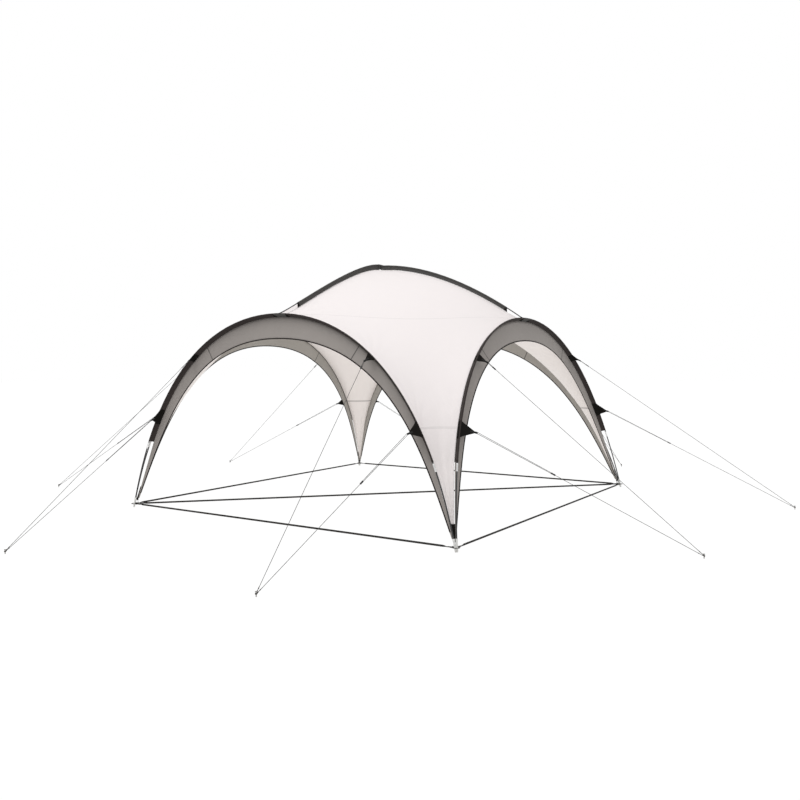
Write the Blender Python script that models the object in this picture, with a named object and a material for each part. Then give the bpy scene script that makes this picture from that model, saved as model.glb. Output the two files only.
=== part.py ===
"""Dome shelter for a camp site: four bent edge arches on four feet, two crossing ridge poles, a cloth
roof with a valance in each arch, ground straps between the feet, and guy lines to eight pegs.

Metres, +Z up. The origin is on the ground at the middle of the plan, and the front faces -Y.
Each side is drawn once, as the front side of a square plan, and stand() puts it in its place.
"""

from math import atan2, cos, pi, sin

import bmesh
import bpy
from mathutils import Matrix, Vector

# Plan: the feet stand on the corners of this rectangle
HALF_WIDTH = 1.75
HALF_DEPTH = 1.83
SIDES = ("front", "right", "back", "left")
CORNERS = ("front_right", "back_right", "back_left", "front_left")  # each at its side's right-hand end

# How far the crowns stand off the plan's middle lines, as the shelter is pitched
SWAY_X = -0.082
SWAY_Y = -0.060
SKEW_X = 0.005  # of a crown's place along Y
SKEW_Y = 0.014  # of a crown's place along X
CROWN_DROP = (0, 0.018, 0, 0.035)  # how much lower each side's crown stands than the front one

# Edge arch, half of it, from the foot to the crown, as a curve with two handles
CROWN_HEIGHT = 1.779
CROWN_INSET = 0.214
ARCH_FOOT_HANDLE = Vector((-0.294, 0.160, 1.302))
ARCH_CROWN_HANDLE = 0.716
POLE_RADIUS = 0.0055
POLE_SPREAD = 0.006  # each pole's end stands this far off the corner, along its side
CAP_HEIGHT = 0.095
CAP_TOP_RADIUS = 0.0085
CAP_BOTTOM_RADIUS = 0.0075
CAP_RUN_ON = 0.2  # the share of a cap's length that it runs on below the ground, to be cut off there
CAP_SIDES = 10

# Sleeve: a folded band of cloth with the pole in its outer edge and a seam along its inner edge
SLEEVE_IN = 0.021
SLEEVE_BACK = 0.033
SLEEVE_END_HEIGHT = 0.60
NOSE_RADIUS = 0.0085
SEAM_RADIUS = 0.0035
SLEEVE_WALL = 0.0015
NOSE_POINTS = 5
SEAM_POINTS = 3

# Cloth of the roof and of the valances
CLOTH = 0.003
TIP_INSET = 0.030  # where a roof panel ends above its foot
TIP_HEIGHT = 0.085
HEM_HEIGHT = 1.568
HEM_INSET = 0.197
HEM_TIP_INSET = 0.052
HEM_FOOT_HANDLE = Vector((-0.262, 0.058, 0.606))
HEM_CROWN_HANDLE = 1.115
GAP = 0.0003  # between two pieces that touch
ROOF_GAP = 0.0013  # from a sleeve's seam to the edge of the roof, which comes closer where it bends
RIDGE_CLEAR = SEAM_RADIUS + 3 * GAP

# Ridge poles, from behind a crown to the apex, one over the other
RIDGE_RADIUS = 0.00475
RIDGE_SEAT = 0.0173  # from an arch pole, at its crown, back to the end of the ridge pole on its sleeve
RIDGE_DROP = 0.036  # from a ridge pole to the seam of its sleeve
RIDGE_NOSE_RADIUS = 0.0082
APEX_HEIGHT = 2.326
RIDGES = {
    "lengthways": {
        "sides": (0, 2),
        "lift": 0.0088,
        "crown_handles": (Vector((0, 0.165, 0.036)), Vector((0, 0.165, 0.036))),
        "apex_handle": 0.404,
        "bare": 0.262,
    },
    "crossways": {
        "sides": (1, 3),
        "lift": 0.0,
        "crown_handles": (Vector((0, 0.410, 0.280)), Vector((0, 0.410, 0.180))),
        "apex_handle": 0.570,
        "bare": 0.154,
    },
}
SLEEVE_TO_APEX = 0.010

# Ground straps: webbing that stands on its edge
STRAP_WIDTH = 0.013
STRAP_THICKNESS = 0.0025
STRAP_HEIGHT = 0.035
STRAP_PLATE_RADIUS = 0.030
STRAP_PLATE_THICKNESS = 0.005
PLATE_SIDES = 16  # so that each strap meets the plate at a corner

# Guy lines: two from each half of an arch, down to one peg
PATCH_HEIGHTS = (0.87, 1.42)
PATCH_BASE = 0.16
PATCH_REACH = 0.095
PATCH_TIP = 0.020
PATCH_THICKNESS = 0.003
PATCH_STEPS = 8  # places along a patch where its clearance to the bent pole is looked at
GUY_RADIUS = 0.0015
PEG_RADIUS = 0.004
PEG_HEAD_RADIUS = 0.008
PEG_HEIGHT = 0.034
PEG_HEAD_HEIGHT = 0.004
PEG_SIDES = 10
GUY_LOOP_HEIGHT = 0.020
PEGS = {
    "front_left": (-0.98, -3.60),
    "front_right": (1.30, -3.44),
    "right_front": (3.29, -1.06),
    "right_back": (3.54, 1.35),
    "back_right": (1.20, 3.52),
    "back_left": (-1.20, 3.55),
    "left_back": (-3.41, 1.14),
    "left_front": (-3.46, -1.44),
}

# Steps along the curves
LEG_STEPS = 2  # below the sleeve
ARCH_STEPS = 12  # from the end of the sleeve to the crown
RIDGE_STEPS = (2, 11, 1)  # bare pole, sleeve, and bare pole again at the apex
SMOOTHING_ROUNDS = 60
HALVINGS = 40
SMALL_STEP = 0.002  # of an arch, to find which way it runs
WELD = 1e-6

RIGHT = Vector((1, 0, 0))
BACK = Vector((0, 1, 0))
UP = Vector((0, 0, 1))


# Places


def stand(point, side):
    """The world place of a point drawn for the front side of a square plan."""
    outwards = max(0, min(1, -point[1] / (HALF_WIDTH - CROWN_INSET)))
    upwards = min(1, point[2] / CROWN_HEIGHT)
    lowered = Vector(point) - CROWN_DROP[side] * outwards * upwards**2 * UP
    placed = Matrix.Rotation(side * pi / 2, 3, "Z") @ lowered
    placed.y *= HALF_DEPTH / HALF_WIDTH
    lean = placed.z / CROWN_HEIGHT
    return placed + lean * Vector((SWAY_X + SKEW_X * placed.y, SWAY_Y + SKEW_Y * placed.x, 0))


def along(curve, share):
    """The point at this share of a cubic curve given by its ends and two handles."""
    start, first, second, end = curve
    rest = 1 - share
    return (
        rest**3 * start
        + 3 * rest**2 * share * first
        + 3 * rest * share**2 * second
        + share**3 * end
    )


def half_curve(foot, foot_handle, crown, crown_handle):
    return (foot, foot + foot_handle, crown + Vector((crown_handle, 0, 0)), crown)


ARCH = half_curve(
    Vector((HALF_WIDTH - POLE_SPREAD, -HALF_WIDTH, 0)),
    ARCH_FOOT_HANDLE,
    Vector((0, CROWN_INSET - HALF_WIDTH, CROWN_HEIGHT)),
    ARCH_CROWN_HANDLE,
)
TIP = Vector((HALF_WIDTH - TIP_INSET, TIP_INSET - HALF_WIDTH, TIP_HEIGHT))
HEM = half_curve(
    Vector((HALF_WIDTH - HEM_TIP_INSET, TIP_INSET - HALF_WIDTH, TIP_HEIGHT)),
    HEM_FOOT_HANDLE,
    Vector((0, HEM_INSET - HALF_WIDTH, HEM_HEIGHT)),
    HEM_CROWN_HANDLE,
)


def on_arch(place, curve=ARCH):
    """A point of an arch: place runs from -1 at the left foot, through 0 at the crown, to 1."""
    point = along(curve, 1 - abs(place))
    return Vector((-point.x, point.y, point.z)) if place < 0 else point


def share_where(reached):
    """The share from 0 to 1 at which a test turns true, by halving."""
    low, high = 0.0, 1.0
    for _ in range(HALVINGS):
        middle = (low + high) / 2
        if reached(middle):
            high = middle
        else:
            low = middle
    return low


def place_at_height(height):
    """Where the right half of the arch is at this height."""
    return share_where(lambda place: on_arch(place).z <= height)


def stations(steps, *stops):
    """Numbers that run evenly from each stop to the next, in this many steps for each stretch."""
    numbers = [stops[0]]
    for count, first, last in zip(steps, stops, stops[1:]):
        numbers += [first + (last - first) * step / count for step in range(1, count + 1)]
    return numbers


def pick(numbers, share):
    """The number that stands at this share of the way through a list."""
    return numbers[round(share * (len(numbers) - 1))]


SLEEVE_END = place_at_height(SLEEVE_END_HEIGHT)


def run_at(place):
    """How far, and which way, the arch runs for each unit of place."""
    after = min(place + SMALL_STEP, 1)
    before = max(place - SMALL_STEP, -1)
    return (on_arch(after) - on_arch(before)) / (after - before)


def inward(place):
    """The direction in the arch's own plane that points into its opening."""
    return BACK.cross(run_at(place)).normalized()


def on_seam(place):
    """The seam where sleeve, roof and valance meet; below the sleeve it runs straight to the tip."""
    held = max(-SLEEVE_END, min(SLEEVE_END, place))
    seam = on_arch(held) + SLEEVE_IN * inward(held) + SLEEVE_BACK * BACK
    if held == place:
        return seam
    tip = Vector((-TIP.x if place < 0 else TIP.x, TIP.y, TIP.z))
    return seam.lerp(tip, (abs(place) - SLEEVE_END) / (1 - SLEEVE_END))


def ridge_of(side):
    return RIDGES["lengthways" if side % 2 == 0 else "crossways"]


def ridge_curve(side):
    """One side's half of a ridge pole, from its seat behind the arch's crown to the apex."""
    ridge = ridge_of(side)
    crown = ARCH[3] + RIDGE_SEAT * BACK
    apex = (APEX_HEIGHT + ridge["lift"]) * UP
    handle = ridge["crown_handles"][side // 2]
    return (crown, crown + handle, apex - ridge["apex_handle"] * BACK, apex)


def share_from_end(curve, distance, from_start):
    """The share of a ridge curve that lies this far, on the level, from one of its ends."""
    end = curve[0] if from_start else curve[3]

    def beyond(share):
        return abs(along(curve, share).y - end.y) > distance

    return share_where(lambda share: beyond(share) == from_start)


def sleeve_shares(side):
    """The shares of a ridge curve at which its sleeve starts and ends."""
    curve = ridge_curve(side)
    starts = share_from_end(curve, ridge_of(side)["bare"], True)
    return starts, share_from_end(curve, SLEEVE_TO_APEX, False)


def ridge_seam(side, share):
    """The seam below a ridge pole; short of the sleeve it runs down to the seam of the arch."""
    short = max(0, 1 - share / sleeve_shares(side)[0])
    to_arch_seam = (SLEEVE_BACK - RIDGE_SEAT) * BACK - SLEEVE_IN * UP
    return along(ridge_curve(side), share) + short * to_arch_seam - (1 - short) * RIDGE_DROP * UP


# Solids


def material(name, colour, roughness, metallic=0.0):
    made = bpy.data.materials.get(name) or bpy.data.materials.new(name)
    made.use_nodes = True
    shader = made.node_tree.nodes["Principled BSDF"]
    shader.inputs["Base Color"].default_value = (*colour, 1)
    shader.inputs["Roughness"].default_value = roughness
    shader.inputs["Metallic"].default_value = metallic
    return made


def roof_cloth():
    return material("roof_cloth", (0.82, 0.79, 0.78), 0.85)


def valance_cloth():
    return material("valance_cloth", (0.30, 0.28, 0.26), 0.85)


def sleeve_cloth():
    return material("sleeve_cloth", (0.045, 0.045, 0.042), 0.8)


def pole_rod():
    return material("pole_rod", (0.03, 0.03, 0.03), 0.35)


def foot_plastic():
    return material("foot_plastic", (0.70, 0.70, 0.68), 0.4)


def strap_webbing():
    return material("strap_webbing", (0.04, 0.04, 0.04), 0.75)


def guy_cord():
    return material("guy_cord", (0.32, 0.32, 0.31), 0.7)


def peg_steel():
    return material("peg_steel", (0.45, 0.45, 0.46), 0.35, 1.0)


def add_object(name, data, finish):
    obj = bpy.data.objects.new(name, data)
    bpy.context.scene.collection.objects.link(obj)
    data.materials.append(finish)
    return obj


def mesh_object(name, bm, finish, smooth=True):
    bmesh.ops.recalc_face_normals(bm, faces=bm.faces)
    for face in bm.faces:
        face.smooth = smooth
    mesh = bpy.data.meshes.new(name)
    bm.to_mesh(mesh)
    bm.free()
    return add_object(name, mesh, finish)


def thicken(obj, thickness, offset):
    """Gives a sheet its thickness; offset 0 spreads it evenly and -1 puts it all inside."""
    wall = obj.modifiers.new("Cloth", "SOLIDIFY")
    wall.thickness = thickness
    wall.offset = offset
    wall.use_even_offset = True


def rod(name, points, radius, finish):
    """A round rod or cord along these points, with flat ends."""
    curve = bpy.data.curves.new(name, "CURVE")
    curve.dimensions = "3D"
    curve.bevel_depth = radius
    curve.bevel_resolution = 1
    curve.use_fill_caps = True
    spline = curve.splines.new("POLY")
    spline.points.add(len(points) - 1)
    for knot, point in zip(spline.points, points):
        knot.co = (*point, 1)
    return add_object(name, curve, finish)


def sheet(name, columns, rows, place, finish, rounds=0):
    """A cloth sheet over a grid; place gives the point for two shares, and rounds relax it."""
    bm = bmesh.new()
    bmesh.ops.create_grid(bm, x_segments=columns, y_segments=rows, size=0.5)
    for vert in bm.verts:
        vert.co = place(vert.co.x + 0.5, vert.co.y + 0.5)
    inner = [vert for vert in bm.verts if not vert.is_boundary]
    for _ in range(rounds):
        bmesh.ops.smooth_vert(
            bm, verts=inner, factor=0.5, use_axis_x=True, use_axis_y=True, use_axis_z=True
        )
    return mesh_object(name, bm, finish)


def union(base, others):
    """Joins solids that overlap into one closed body, and removes the ones joined on."""
    for other in others:
        join = base.modifiers.new("Join", "BOOLEAN")
        join.operation = "UNION"
        join.solver = "EXACT"
        join.object = other
    graph = bpy.context.evaluated_depsgraph_get()
    joined = bpy.data.meshes.new_from_object(base.evaluated_get(graph))
    base.modifiers.clear()
    base.data = joined
    for other in others:
        bpy.data.objects.remove(other)
    return base


# Arches: pole, sleeve and valance


def add_arch_pole(side):
    """The bent pole from the cap on one foot to the cap on the other."""
    end = place_at_height(CAP_HEIGHT + GAP)
    steps = (LEG_STEPS * 2, ARCH_STEPS * 2, LEG_STEPS * 2)
    places = stations(steps, -end, -SLEEVE_END, SLEEVE_END, end)
    points = [stand(on_arch(place), side) for place in places]
    rod(f"arch_pole_{SIDES[side]}", points, POLE_RADIUS, pole_rod())


def sleeve_section(bm, centre, seam, run, nose):
    """One loop of the sleeve: a round nose about the pole and a slim edge at the seam."""
    across = (seam - centre).normalized()
    flat = run.cross(across).normalized()
    loop = []
    for middle, radius, first, count in (
        (centre, nose, pi / 2, NOSE_POINTS),
        (seam, SEAM_RADIUS, -pi / 2, SEAM_POINTS),
    ):
        for index in range(count):
            angle = first + pi * index / (count - 1)
            loop.append(middle + radius * (cos(angle) * across + sin(angle) * flat))
    verts = [bm.verts.new(point) for point in loop]
    return [bm.edges.new((verts[i - 1], verts[i])) for i in range(len(verts))]


def add_sleeve(name, centres, seams, nose):
    """A tube of cloth through these places of the pole and of the seam."""
    bm = bmesh.new()
    loops = []
    for index, (centre, seam) in enumerate(zip(centres, seams)):
        after = centres[min(index + 1, len(centres) - 1)]
        before = centres[max(index - 1, 0)]
        loops.append(sleeve_section(bm, centre, seam, after - before, nose))
    for first, second in zip(loops, loops[1:]):
        bmesh.ops.bridge_loops(bm, edges=first + second)
    thicken(mesh_object(name, bm, sleeve_cloth()), SLEEVE_WALL, -1)


def add_arch_sleeve(side):
    places = stations((ARCH_STEPS * 2,), -SLEEVE_END, SLEEVE_END)
    add_sleeve(
        f"arch_sleeve_{SIDES[side]}",
        [stand(on_arch(place), side) for place in places],
        [stand(on_seam(place), side) for place in places],
        NOSE_RADIUS,
    )


def add_valance(side):
    """The crescent of cloth that hangs in the arch, from the seam down to its hem."""
    steps = (LEG_STEPS, ARCH_STEPS * 2, LEG_STEPS)
    places = stations(steps, -1, -SLEEVE_END, SLEEVE_END, 1)

    def place(share, down):
        spot = pick(places, share)
        top = on_seam(spot) + (SEAM_RADIUS + GAP) * inward(spot)
        return stand(top.lerp(on_arch(spot, HEM), down), side)

    name = f"valance_{SIDES[side]}"
    thicken(sheet(name, sum(steps), 2, place, valance_cloth()), CLOTH, 0)


# Roof: four panels, and the ridge poles with their sleeves


def roof_edges(side):
    """The four edges of the panel at this side's right-hand corner, as functions of a share."""
    clear = SEAM_RADIUS + ROOF_GAP + CLOTH / 2
    places = stations((LEG_STEPS, ARCH_STEPS), 1, SLEEVE_END, 0)

    def arch(share, at_side, turn):
        seam = on_seam(turn * pick(places, share))
        return stand(seam + clear * BACK + turn * share * RIDGE_CLEAR * RIGHT, at_side)

    def ridge(share, at_side, turn):
        shares = stations(RIDGE_STEPS, 0, *sleeve_shares(at_side), 1)
        seam = ridge_seam(at_side, pick(shares, share))
        beside = Vector((turn * RIDGE_CLEAR, clear * (1 - share) - RIDGE_CLEAR * share, 0))
        return stand(seam + beside, at_side)

    far = (side + 1) % 4
    return (
        lambda share: arch(share, side, 1),
        lambda share: arch(share, far, -1),
        lambda share: ridge(share, side, 1),
        lambda share: ridge(share, far, -1),
    )


def add_roof_panel(side):
    """One quarter of the roof, stretched between two arches and two ridge poles."""
    near_arch, far_arch, near_ridge, far_ridge = roof_edges(side)
    foot = (near_arch(0) + far_arch(0)) / 2
    near_crown = (near_arch(1) + near_ridge(0)) / 2
    far_crown = (far_arch(1) + far_ridge(0)) / 2
    apex = (near_ridge(1) + far_ridge(1)) / 2

    def place(u, v):
        between_arches = (1 - v) * near_arch(u) + v * far_ridge(u)
        between_ridges = (1 - u) * far_arch(v) + u * near_ridge(v)
        corners = (1 - v) * ((1 - u) * foot + u * near_crown) + v * ((1 - u) * far_crown + u * apex)
        return between_arches + between_ridges - corners

    steps = LEG_STEPS + ARCH_STEPS
    name = f"roof_panel_{CORNERS[side]}"
    thicken(sheet(name, steps, steps, place, roof_cloth(), SMOOTHING_ROUNDS), CLOTH, 0)


def half_ridge(side):
    """The places of one side's half of a ridge pole, up to the apex."""
    shares = stations(RIDGE_STEPS, 0, *sleeve_shares(side), 1)
    return [stand(along(ridge_curve(side), share), side) for share in shares]


def add_ridge_pole(name, ridge):
    """The pole from one crown, over the apex, to the crown across from it."""
    there, back = (half_ridge(side) for side in ridge["sides"])
    rod(f"ridge_pole_{name}", there + back[-2::-1], RIDGE_RADIUS, pole_rod())


def add_ridge_sleeve(side):
    shares = stations(RIDGE_STEPS[1:2], *sleeve_shares(side))
    add_sleeve(
        f"ridge_sleeve_{SIDES[side]}",
        [stand(along(ridge_curve(side), share), side) for share in shares],
        [stand(ridge_seam(side, share), side) for share in shares],
        RIDGE_NOSE_RADIUS,
    )


# Feet and ground straps


def corner(side):
    return stand(Vector((HALF_WIDTH, -HALF_WIDTH, 0)), side)


def pole_cap(bottom, top):
    """A tapered end cap from below the ground line up to the end of a pole."""
    below = bottom - CAP_RUN_ON * (top - bottom)
    run = top - below
    bm = bmesh.new()
    bmesh.ops.create_cone(
        bm,
        cap_ends=True,
        segments=CAP_SIDES,
        radius1=CAP_BOTTOM_RADIUS,
        radius2=CAP_TOP_RADIUS,
        depth=run.length,
        matrix=Matrix.Translation((below + top) / 2) @ run.to_track_quat("Z", "X").to_matrix().to_4x4(),
    )
    return mesh_object("cap", bm, foot_plastic())


def add_foot(side):
    """Two end caps that meet in a V, and the small plate that the straps are tied to."""
    right = (side + 1) % 4
    end = place_at_height(CAP_HEIGHT)
    near = pole_cap(stand(on_arch(1), side), stand(on_arch(end), side))
    far = pole_cap(stand(on_arch(-1), right), stand(on_arch(-end), right))
    bm = bmesh.new()
    bmesh.ops.create_cone(
        bm,
        cap_ends=True,
        segments=PLATE_SIDES,
        radius1=STRAP_PLATE_RADIUS,
        radius2=STRAP_PLATE_RADIUS,
        depth=STRAP_PLATE_THICKNESS,
        matrix=Matrix.Translation(corner(side) + STRAP_HEIGHT * UP),
    )
    plate = mesh_object("plate", bm, foot_plastic())
    foot = union(near, [far, plate])
    foot.name = f"foot_{CORNERS[side]}"
    level_bottom(foot)


def level_bottom(obj):
    """Cuts a solid off flat at the ground and closes it."""
    bm = bmesh.new()
    bm.from_mesh(obj.data)
    cut = bmesh.ops.bisect_plane(
        bm,
        geom=bm.verts[:] + bm.edges[:] + bm.faces[:],
        plane_co=(0, 0, 0),
        plane_no=(0, 0, 1),
        clear_inner=True,
    )
    edges = [item for item in cut["geom_cut"] if isinstance(item, bmesh.types.BMEdge)]
    bmesh.ops.holes_fill(bm, edges=edges)
    bmesh.ops.recalc_face_normals(bm, faces=bm.faces)
    bm.to_mesh(obj.data)
    bm.free()


def add_strap(name, start, end):
    """A taut strap between the plates of two feet."""
    run = end - start
    length = run.length - 2 * (STRAP_PLATE_RADIUS + GAP)
    size = Matrix.Diagonal((length, STRAP_THICKNESS, STRAP_WIDTH, 1))
    turn = Matrix.Rotation(atan2(run.y, run.x), 4, "Z")
    bm = bmesh.new()
    bmesh.ops.create_cube(
        bm, size=1, matrix=Matrix.Translation((start + end) / 2 + STRAP_HEIGHT * UP) @ turn @ size
    )
    mesh_object(name, bm, strap_webbing(), smooth=False)


# Guy lines and pegs


def patch(base_middle, base_run, reach):
    """The three-sided patch that spreads a guy line's pull along the sleeve."""
    normal = base_run.cross(reach).normalized()
    half_base = base_run.normalized() * PATCH_BASE / 2
    half_tip = base_run.normalized() * PATCH_TIP / 2
    bm = bmesh.new()
    outline = (
        base_middle - half_base,
        base_middle + half_base,
        base_middle + reach + half_tip,
        base_middle + reach - half_tip,
    )
    face = bm.faces.new([bm.verts.new(point - normal * PATCH_THICKNESS / 2) for point in outline])
    raised = bmesh.ops.extrude_face_region(bm, geom=[face])["geom"]
    verts = [item for item in raised if isinstance(item, bmesh.types.BMVert)]
    bmesh.ops.translate(bm, verts=verts, vec=normal * PATCH_THICKNESS)
    return mesh_object("patch", bm, sleeve_cloth(), smooth=False)


def on_pole(place):
    """A point of the pole as it is built, straight from one station of its sleeve to the next."""
    places = stations((ARCH_STEPS * 2,), -SLEEVE_END, SLEEVE_END)
    index = (place + SLEEVE_END) / (places[1] - places[0])
    return on_arch(places[int(index)]).lerp(on_arch(places[int(index) + 1]), index % 1)


def guy_anchor(side, end, height, peg):
    """Where a patch is sewn on, the direction along the arch there, and the way to the peg."""
    middle = place_at_height(height)
    reach = PATCH_BASE / 2 / run_at(middle).length
    places = stations((PATCH_STEPS,), middle - reach, middle + reach)
    points = [stand(on_pole(end * place), side) for place in places]
    centre = points[PATCH_STEPS // 2]
    run = (points[-1] - points[0]).normalized()
    pull = peg - centre
    pull = (pull - pull.dot(run) * run).normalized()
    bow = max((point - centre).dot(pull) for point in points)
    return centre + pull * (bow + NOSE_RADIUS + GAP), run, pull


def add_guy_lines(name, side, end, peg):
    """Two patches and the cord that runs from one, round the peg, to the other."""
    loop_middle = Vector((*peg, GUY_LOOP_HEIGHT))
    tips = []
    patches = []
    for height in PATCH_HEIGHTS:
        base, run, pull = guy_anchor(side, end, height, loop_middle)
        patches.append(patch(base, run, pull * PATCH_REACH))
        tips.append(base + pull * (PATCH_REACH - PATCH_TIP / 2))
    radius = PEG_RADIUS + GUY_RADIUS + GAP * 2
    away = (loop_middle - (tips[0] + tips[1]) / 2) * Vector((1, 1, 0))
    heading = atan2(away.y, away.x)
    turn = 1 if (tips[0] - tips[1]).cross(away).z < 0 else -1
    loop = []
    for step in range(-2, 3):
        angle = heading - turn * step * pi / 4
        loop.append(loop_middle + radius * Vector((cos(angle), sin(angle), 0)))
    guy = rod(name, [tips[0], *loop, tips[1]], GUY_RADIUS, guy_cord())
    union(mesh_copy(guy), patches)


def mesh_copy(obj):
    """A mesh object in place of a curve object."""
    graph = bpy.context.evaluated_depsgraph_get()
    mesh = bpy.data.meshes.new_from_object(obj.evaluated_get(graph))
    name = obj.name
    bpy.data.objects.remove(obj)
    bm = bmesh.new()
    bm.from_mesh(mesh)
    bmesh.ops.remove_doubles(bm, verts=bm.verts, dist=WELD)
    return mesh_object(name, bm, guy_cord())


def add_peg(name, peg):
    """The shank and head of a ground peg, as far as they stand out of the ground."""
    profile = (
        (0, 0),
        (PEG_RADIUS, 0),
        (PEG_RADIUS, PEG_HEIGHT - PEG_HEAD_HEIGHT),
        (PEG_HEAD_RADIUS, PEG_HEIGHT - PEG_HEAD_HEIGHT),
        (PEG_HEAD_RADIUS, PEG_HEIGHT),
        (0, PEG_HEIGHT),
    )
    bm = bmesh.new()
    verts = [bm.verts.new((radius, 0, height)) for radius, height in profile]
    edges = [bm.edges.new(pair) for pair in zip(verts, verts[1:])]
    bmesh.ops.spin(
        bm,
        geom=verts + edges,
        axis=UP,
        cent=(0, 0, 0),
        angle=2 * pi,
        steps=PEG_SIDES,
        use_merge=True,
    )
    bmesh.ops.remove_doubles(bm, verts=bm.verts, dist=WELD)
    mesh_object(name, bm, peg_steel(), smooth=False).location = (*peg, 0)


def main():
    for obj in list(bpy.data.objects):
        bpy.data.objects.remove(obj)
    for side, name in enumerate(SIDES):
        add_arch_pole(side)
        add_arch_sleeve(side)
        add_valance(side)
        add_roof_panel(side)
        add_ridge_sleeve(side)
        add_foot(side)
        add_strap(f"ground_strap_{name}", corner(side - 1), corner(side))
        for end, neighbour in ((-1, SIDES[side - 1]), (1, SIDES[(side + 1) % 4])):
            where = f"{name}_{neighbour}"
            add_guy_lines(f"guy_line_{where}", side, end, PEGS[where])
            add_peg(f"peg_{where}", PEGS[where])
    for name, ridge in RIDGES.items():
        add_ridge_pole(name, ridge)
    add_strap("ground_strap_diagonal", corner(3), corner(1))


main()
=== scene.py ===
"""Dresses the dome shelter: its cloth roof, valances and sleeves, its poles, feet, straps, guy lines
and pegs, and the stage it is seen on. Metres, +Z up, the front faces -Y.

Each side is drawn once, as the front side of a square plan, and stand() puts it in its place.
"""

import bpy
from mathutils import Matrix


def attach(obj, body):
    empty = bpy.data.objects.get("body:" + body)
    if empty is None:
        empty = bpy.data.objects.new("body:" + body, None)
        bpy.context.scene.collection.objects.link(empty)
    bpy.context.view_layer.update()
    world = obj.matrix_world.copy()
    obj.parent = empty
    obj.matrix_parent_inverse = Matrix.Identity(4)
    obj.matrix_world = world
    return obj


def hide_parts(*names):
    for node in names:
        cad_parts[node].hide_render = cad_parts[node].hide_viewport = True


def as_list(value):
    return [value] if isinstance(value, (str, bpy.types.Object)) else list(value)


bl_info = {
    "name": "Dome Shelter",
    "version": (1, 0, 0),
    "blender": (4, 5, 0),
    "location": "3D View > Sidebar > Shelter",
    "description": "Makes the cloth, poles, straps and guy lines of a dome-shaped camping shelter",
    "category": "Add Mesh",
}

from functools import cache
from math import atan2, cos, exp, pi, radians, sin

import bmesh
import bpy
from bpy.props import FloatProperty, FloatVectorProperty, IntProperty, PointerProperty
from mathutils import Matrix, Vector

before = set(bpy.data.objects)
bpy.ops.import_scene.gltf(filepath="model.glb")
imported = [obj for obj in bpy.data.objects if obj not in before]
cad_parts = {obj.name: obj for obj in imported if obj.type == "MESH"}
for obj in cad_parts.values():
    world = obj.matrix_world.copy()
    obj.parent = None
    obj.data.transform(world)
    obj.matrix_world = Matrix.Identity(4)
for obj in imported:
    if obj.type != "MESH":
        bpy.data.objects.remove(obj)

SIDES = ("front", "right", "back", "left")
CORNERS = ("front_right", "back_right", "back_left", "front_left")  # each at its side's right-hand end

# Plan and arches
HALF_WIDTH = 1.75
HALF_DEPTH = 1.83
SWAY_X = -0.082  # how far the crowns lean, because the shelter is pitched askew
SWAY_Y = -0.060
SKEW_X = 0.005  # how much it changes for each metre of depth
SKEW_Y = 0.014  # and of width
CROWN_DROP = (0, 0.018, 0, 0.035)  # how much lower each side's crown is
CROWN_HEIGHT = 1.779
CROWN_INSET = 0.214
ARCH_FOOT_HANDLE = Vector((-0.294, 0.160, 1.302))
ARCH_CROWN_HANDLE = 0.716
POLE_SPREAD = 0.006
POLE_RADIUS = 0.0055
CAP_HEIGHT = 0.095

# Sleeve, valance and tip of the cloth
SLEEVE_IN = 0.021  # from a pole to its sleeve's seam, into the arch
SLEEVE_BACK = 0.033  # and behind the arch
SLEEVE_END_HEIGHT = 0.60
TIP_INSET = 0.030
TIP_HEIGHT = 0.085
HEM_HEIGHT = 1.568
HEM_INSET = 0.197
HEM_TIP_INSET = 0.052
HEM_FOOT_HANDLE = Vector((-0.262, 0.058, 0.606))
HEM_CROWN_HANDLE = 1.115

# Ridge poles, from behind a crown to the apex, one over the other
RIDGE_RADIUS = 0.00475
RIDGE_SEAT = 0.0173  # how far behind a crown the ridge pole ends
RIDGE_DROP = 0.036  # from a ridge pole down to its sleeve's seam
APEX_HEIGHT = 2.326
RIDGES = {
    "lengthways": {
        "sides": (0, 2),
        "lift": 0.0088,
        "crown_handles": (Vector((0, 0.165, 0.036)), Vector((0, 0.165, 0.036))),
        "apex_handle": 0.404,
        "bare": 0.262,
    },
    "crossways": {
        "sides": (1, 3),
        "lift": 0.0,
        "crown_handles": (Vector((0, 0.410, 0.280)), Vector((0, 0.410, 0.180))),
        "apex_handle": 0.570,
        "bare": 0.154,
    },
}
SLEEVE_TO_APEX = 0.010  # how far short of the apex a ridge sleeve ends

# Straps, guy lines and pegs
STRAP_HEIGHT = 0.035
PATCH_HEIGHTS = (0.87, 1.42)
PATCH_BASES = (0.150, 0.086)  # along the sleeve
PATCH_REACHES = (0.100, 0.062)  # beyond the sleeve
PATCH_TIP = 0.020
PEG_RADIUS = 0.004
GUY_LOOP_HEIGHT = 0.020
PEGS = {
    "front_left": (-0.98, -3.60),
    "front_right": (1.30, -3.44),
    "right_front": (3.29, -1.06),
    "right_back": (3.54, 1.35),
    "back_right": (1.20, 3.52),
    "back_left": (-1.20, 3.55),
    "left_back": (-3.41, 1.14),
    "left_front": (-3.46, -1.44),
}

RIGHT = Vector((1, 0, 0))
BACK = Vector((0, 1, 0))
UP = Vector((0, 0, 1))
WELD = 1e-5


# Places: the same lines as the solids are built on


def stand(point, side):
    """The world place of a point drawn for the front side of a square plan."""
    outwards = max(0, min(1, -point[1] / (HALF_WIDTH - CROWN_INSET)))
    upwards = min(1, point[2] / CROWN_HEIGHT)
    lowered = Vector(point) - CROWN_DROP[side] * outwards * upwards**2 * UP
    placed = Matrix.Rotation(side * pi / 2, 3, "Z") @ lowered
    placed.y *= HALF_DEPTH / HALF_WIDTH
    lean = placed.z / CROWN_HEIGHT
    return placed + lean * Vector((SWAY_X + SKEW_X * placed.y, SWAY_Y + SKEW_Y * placed.x, 0))


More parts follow.
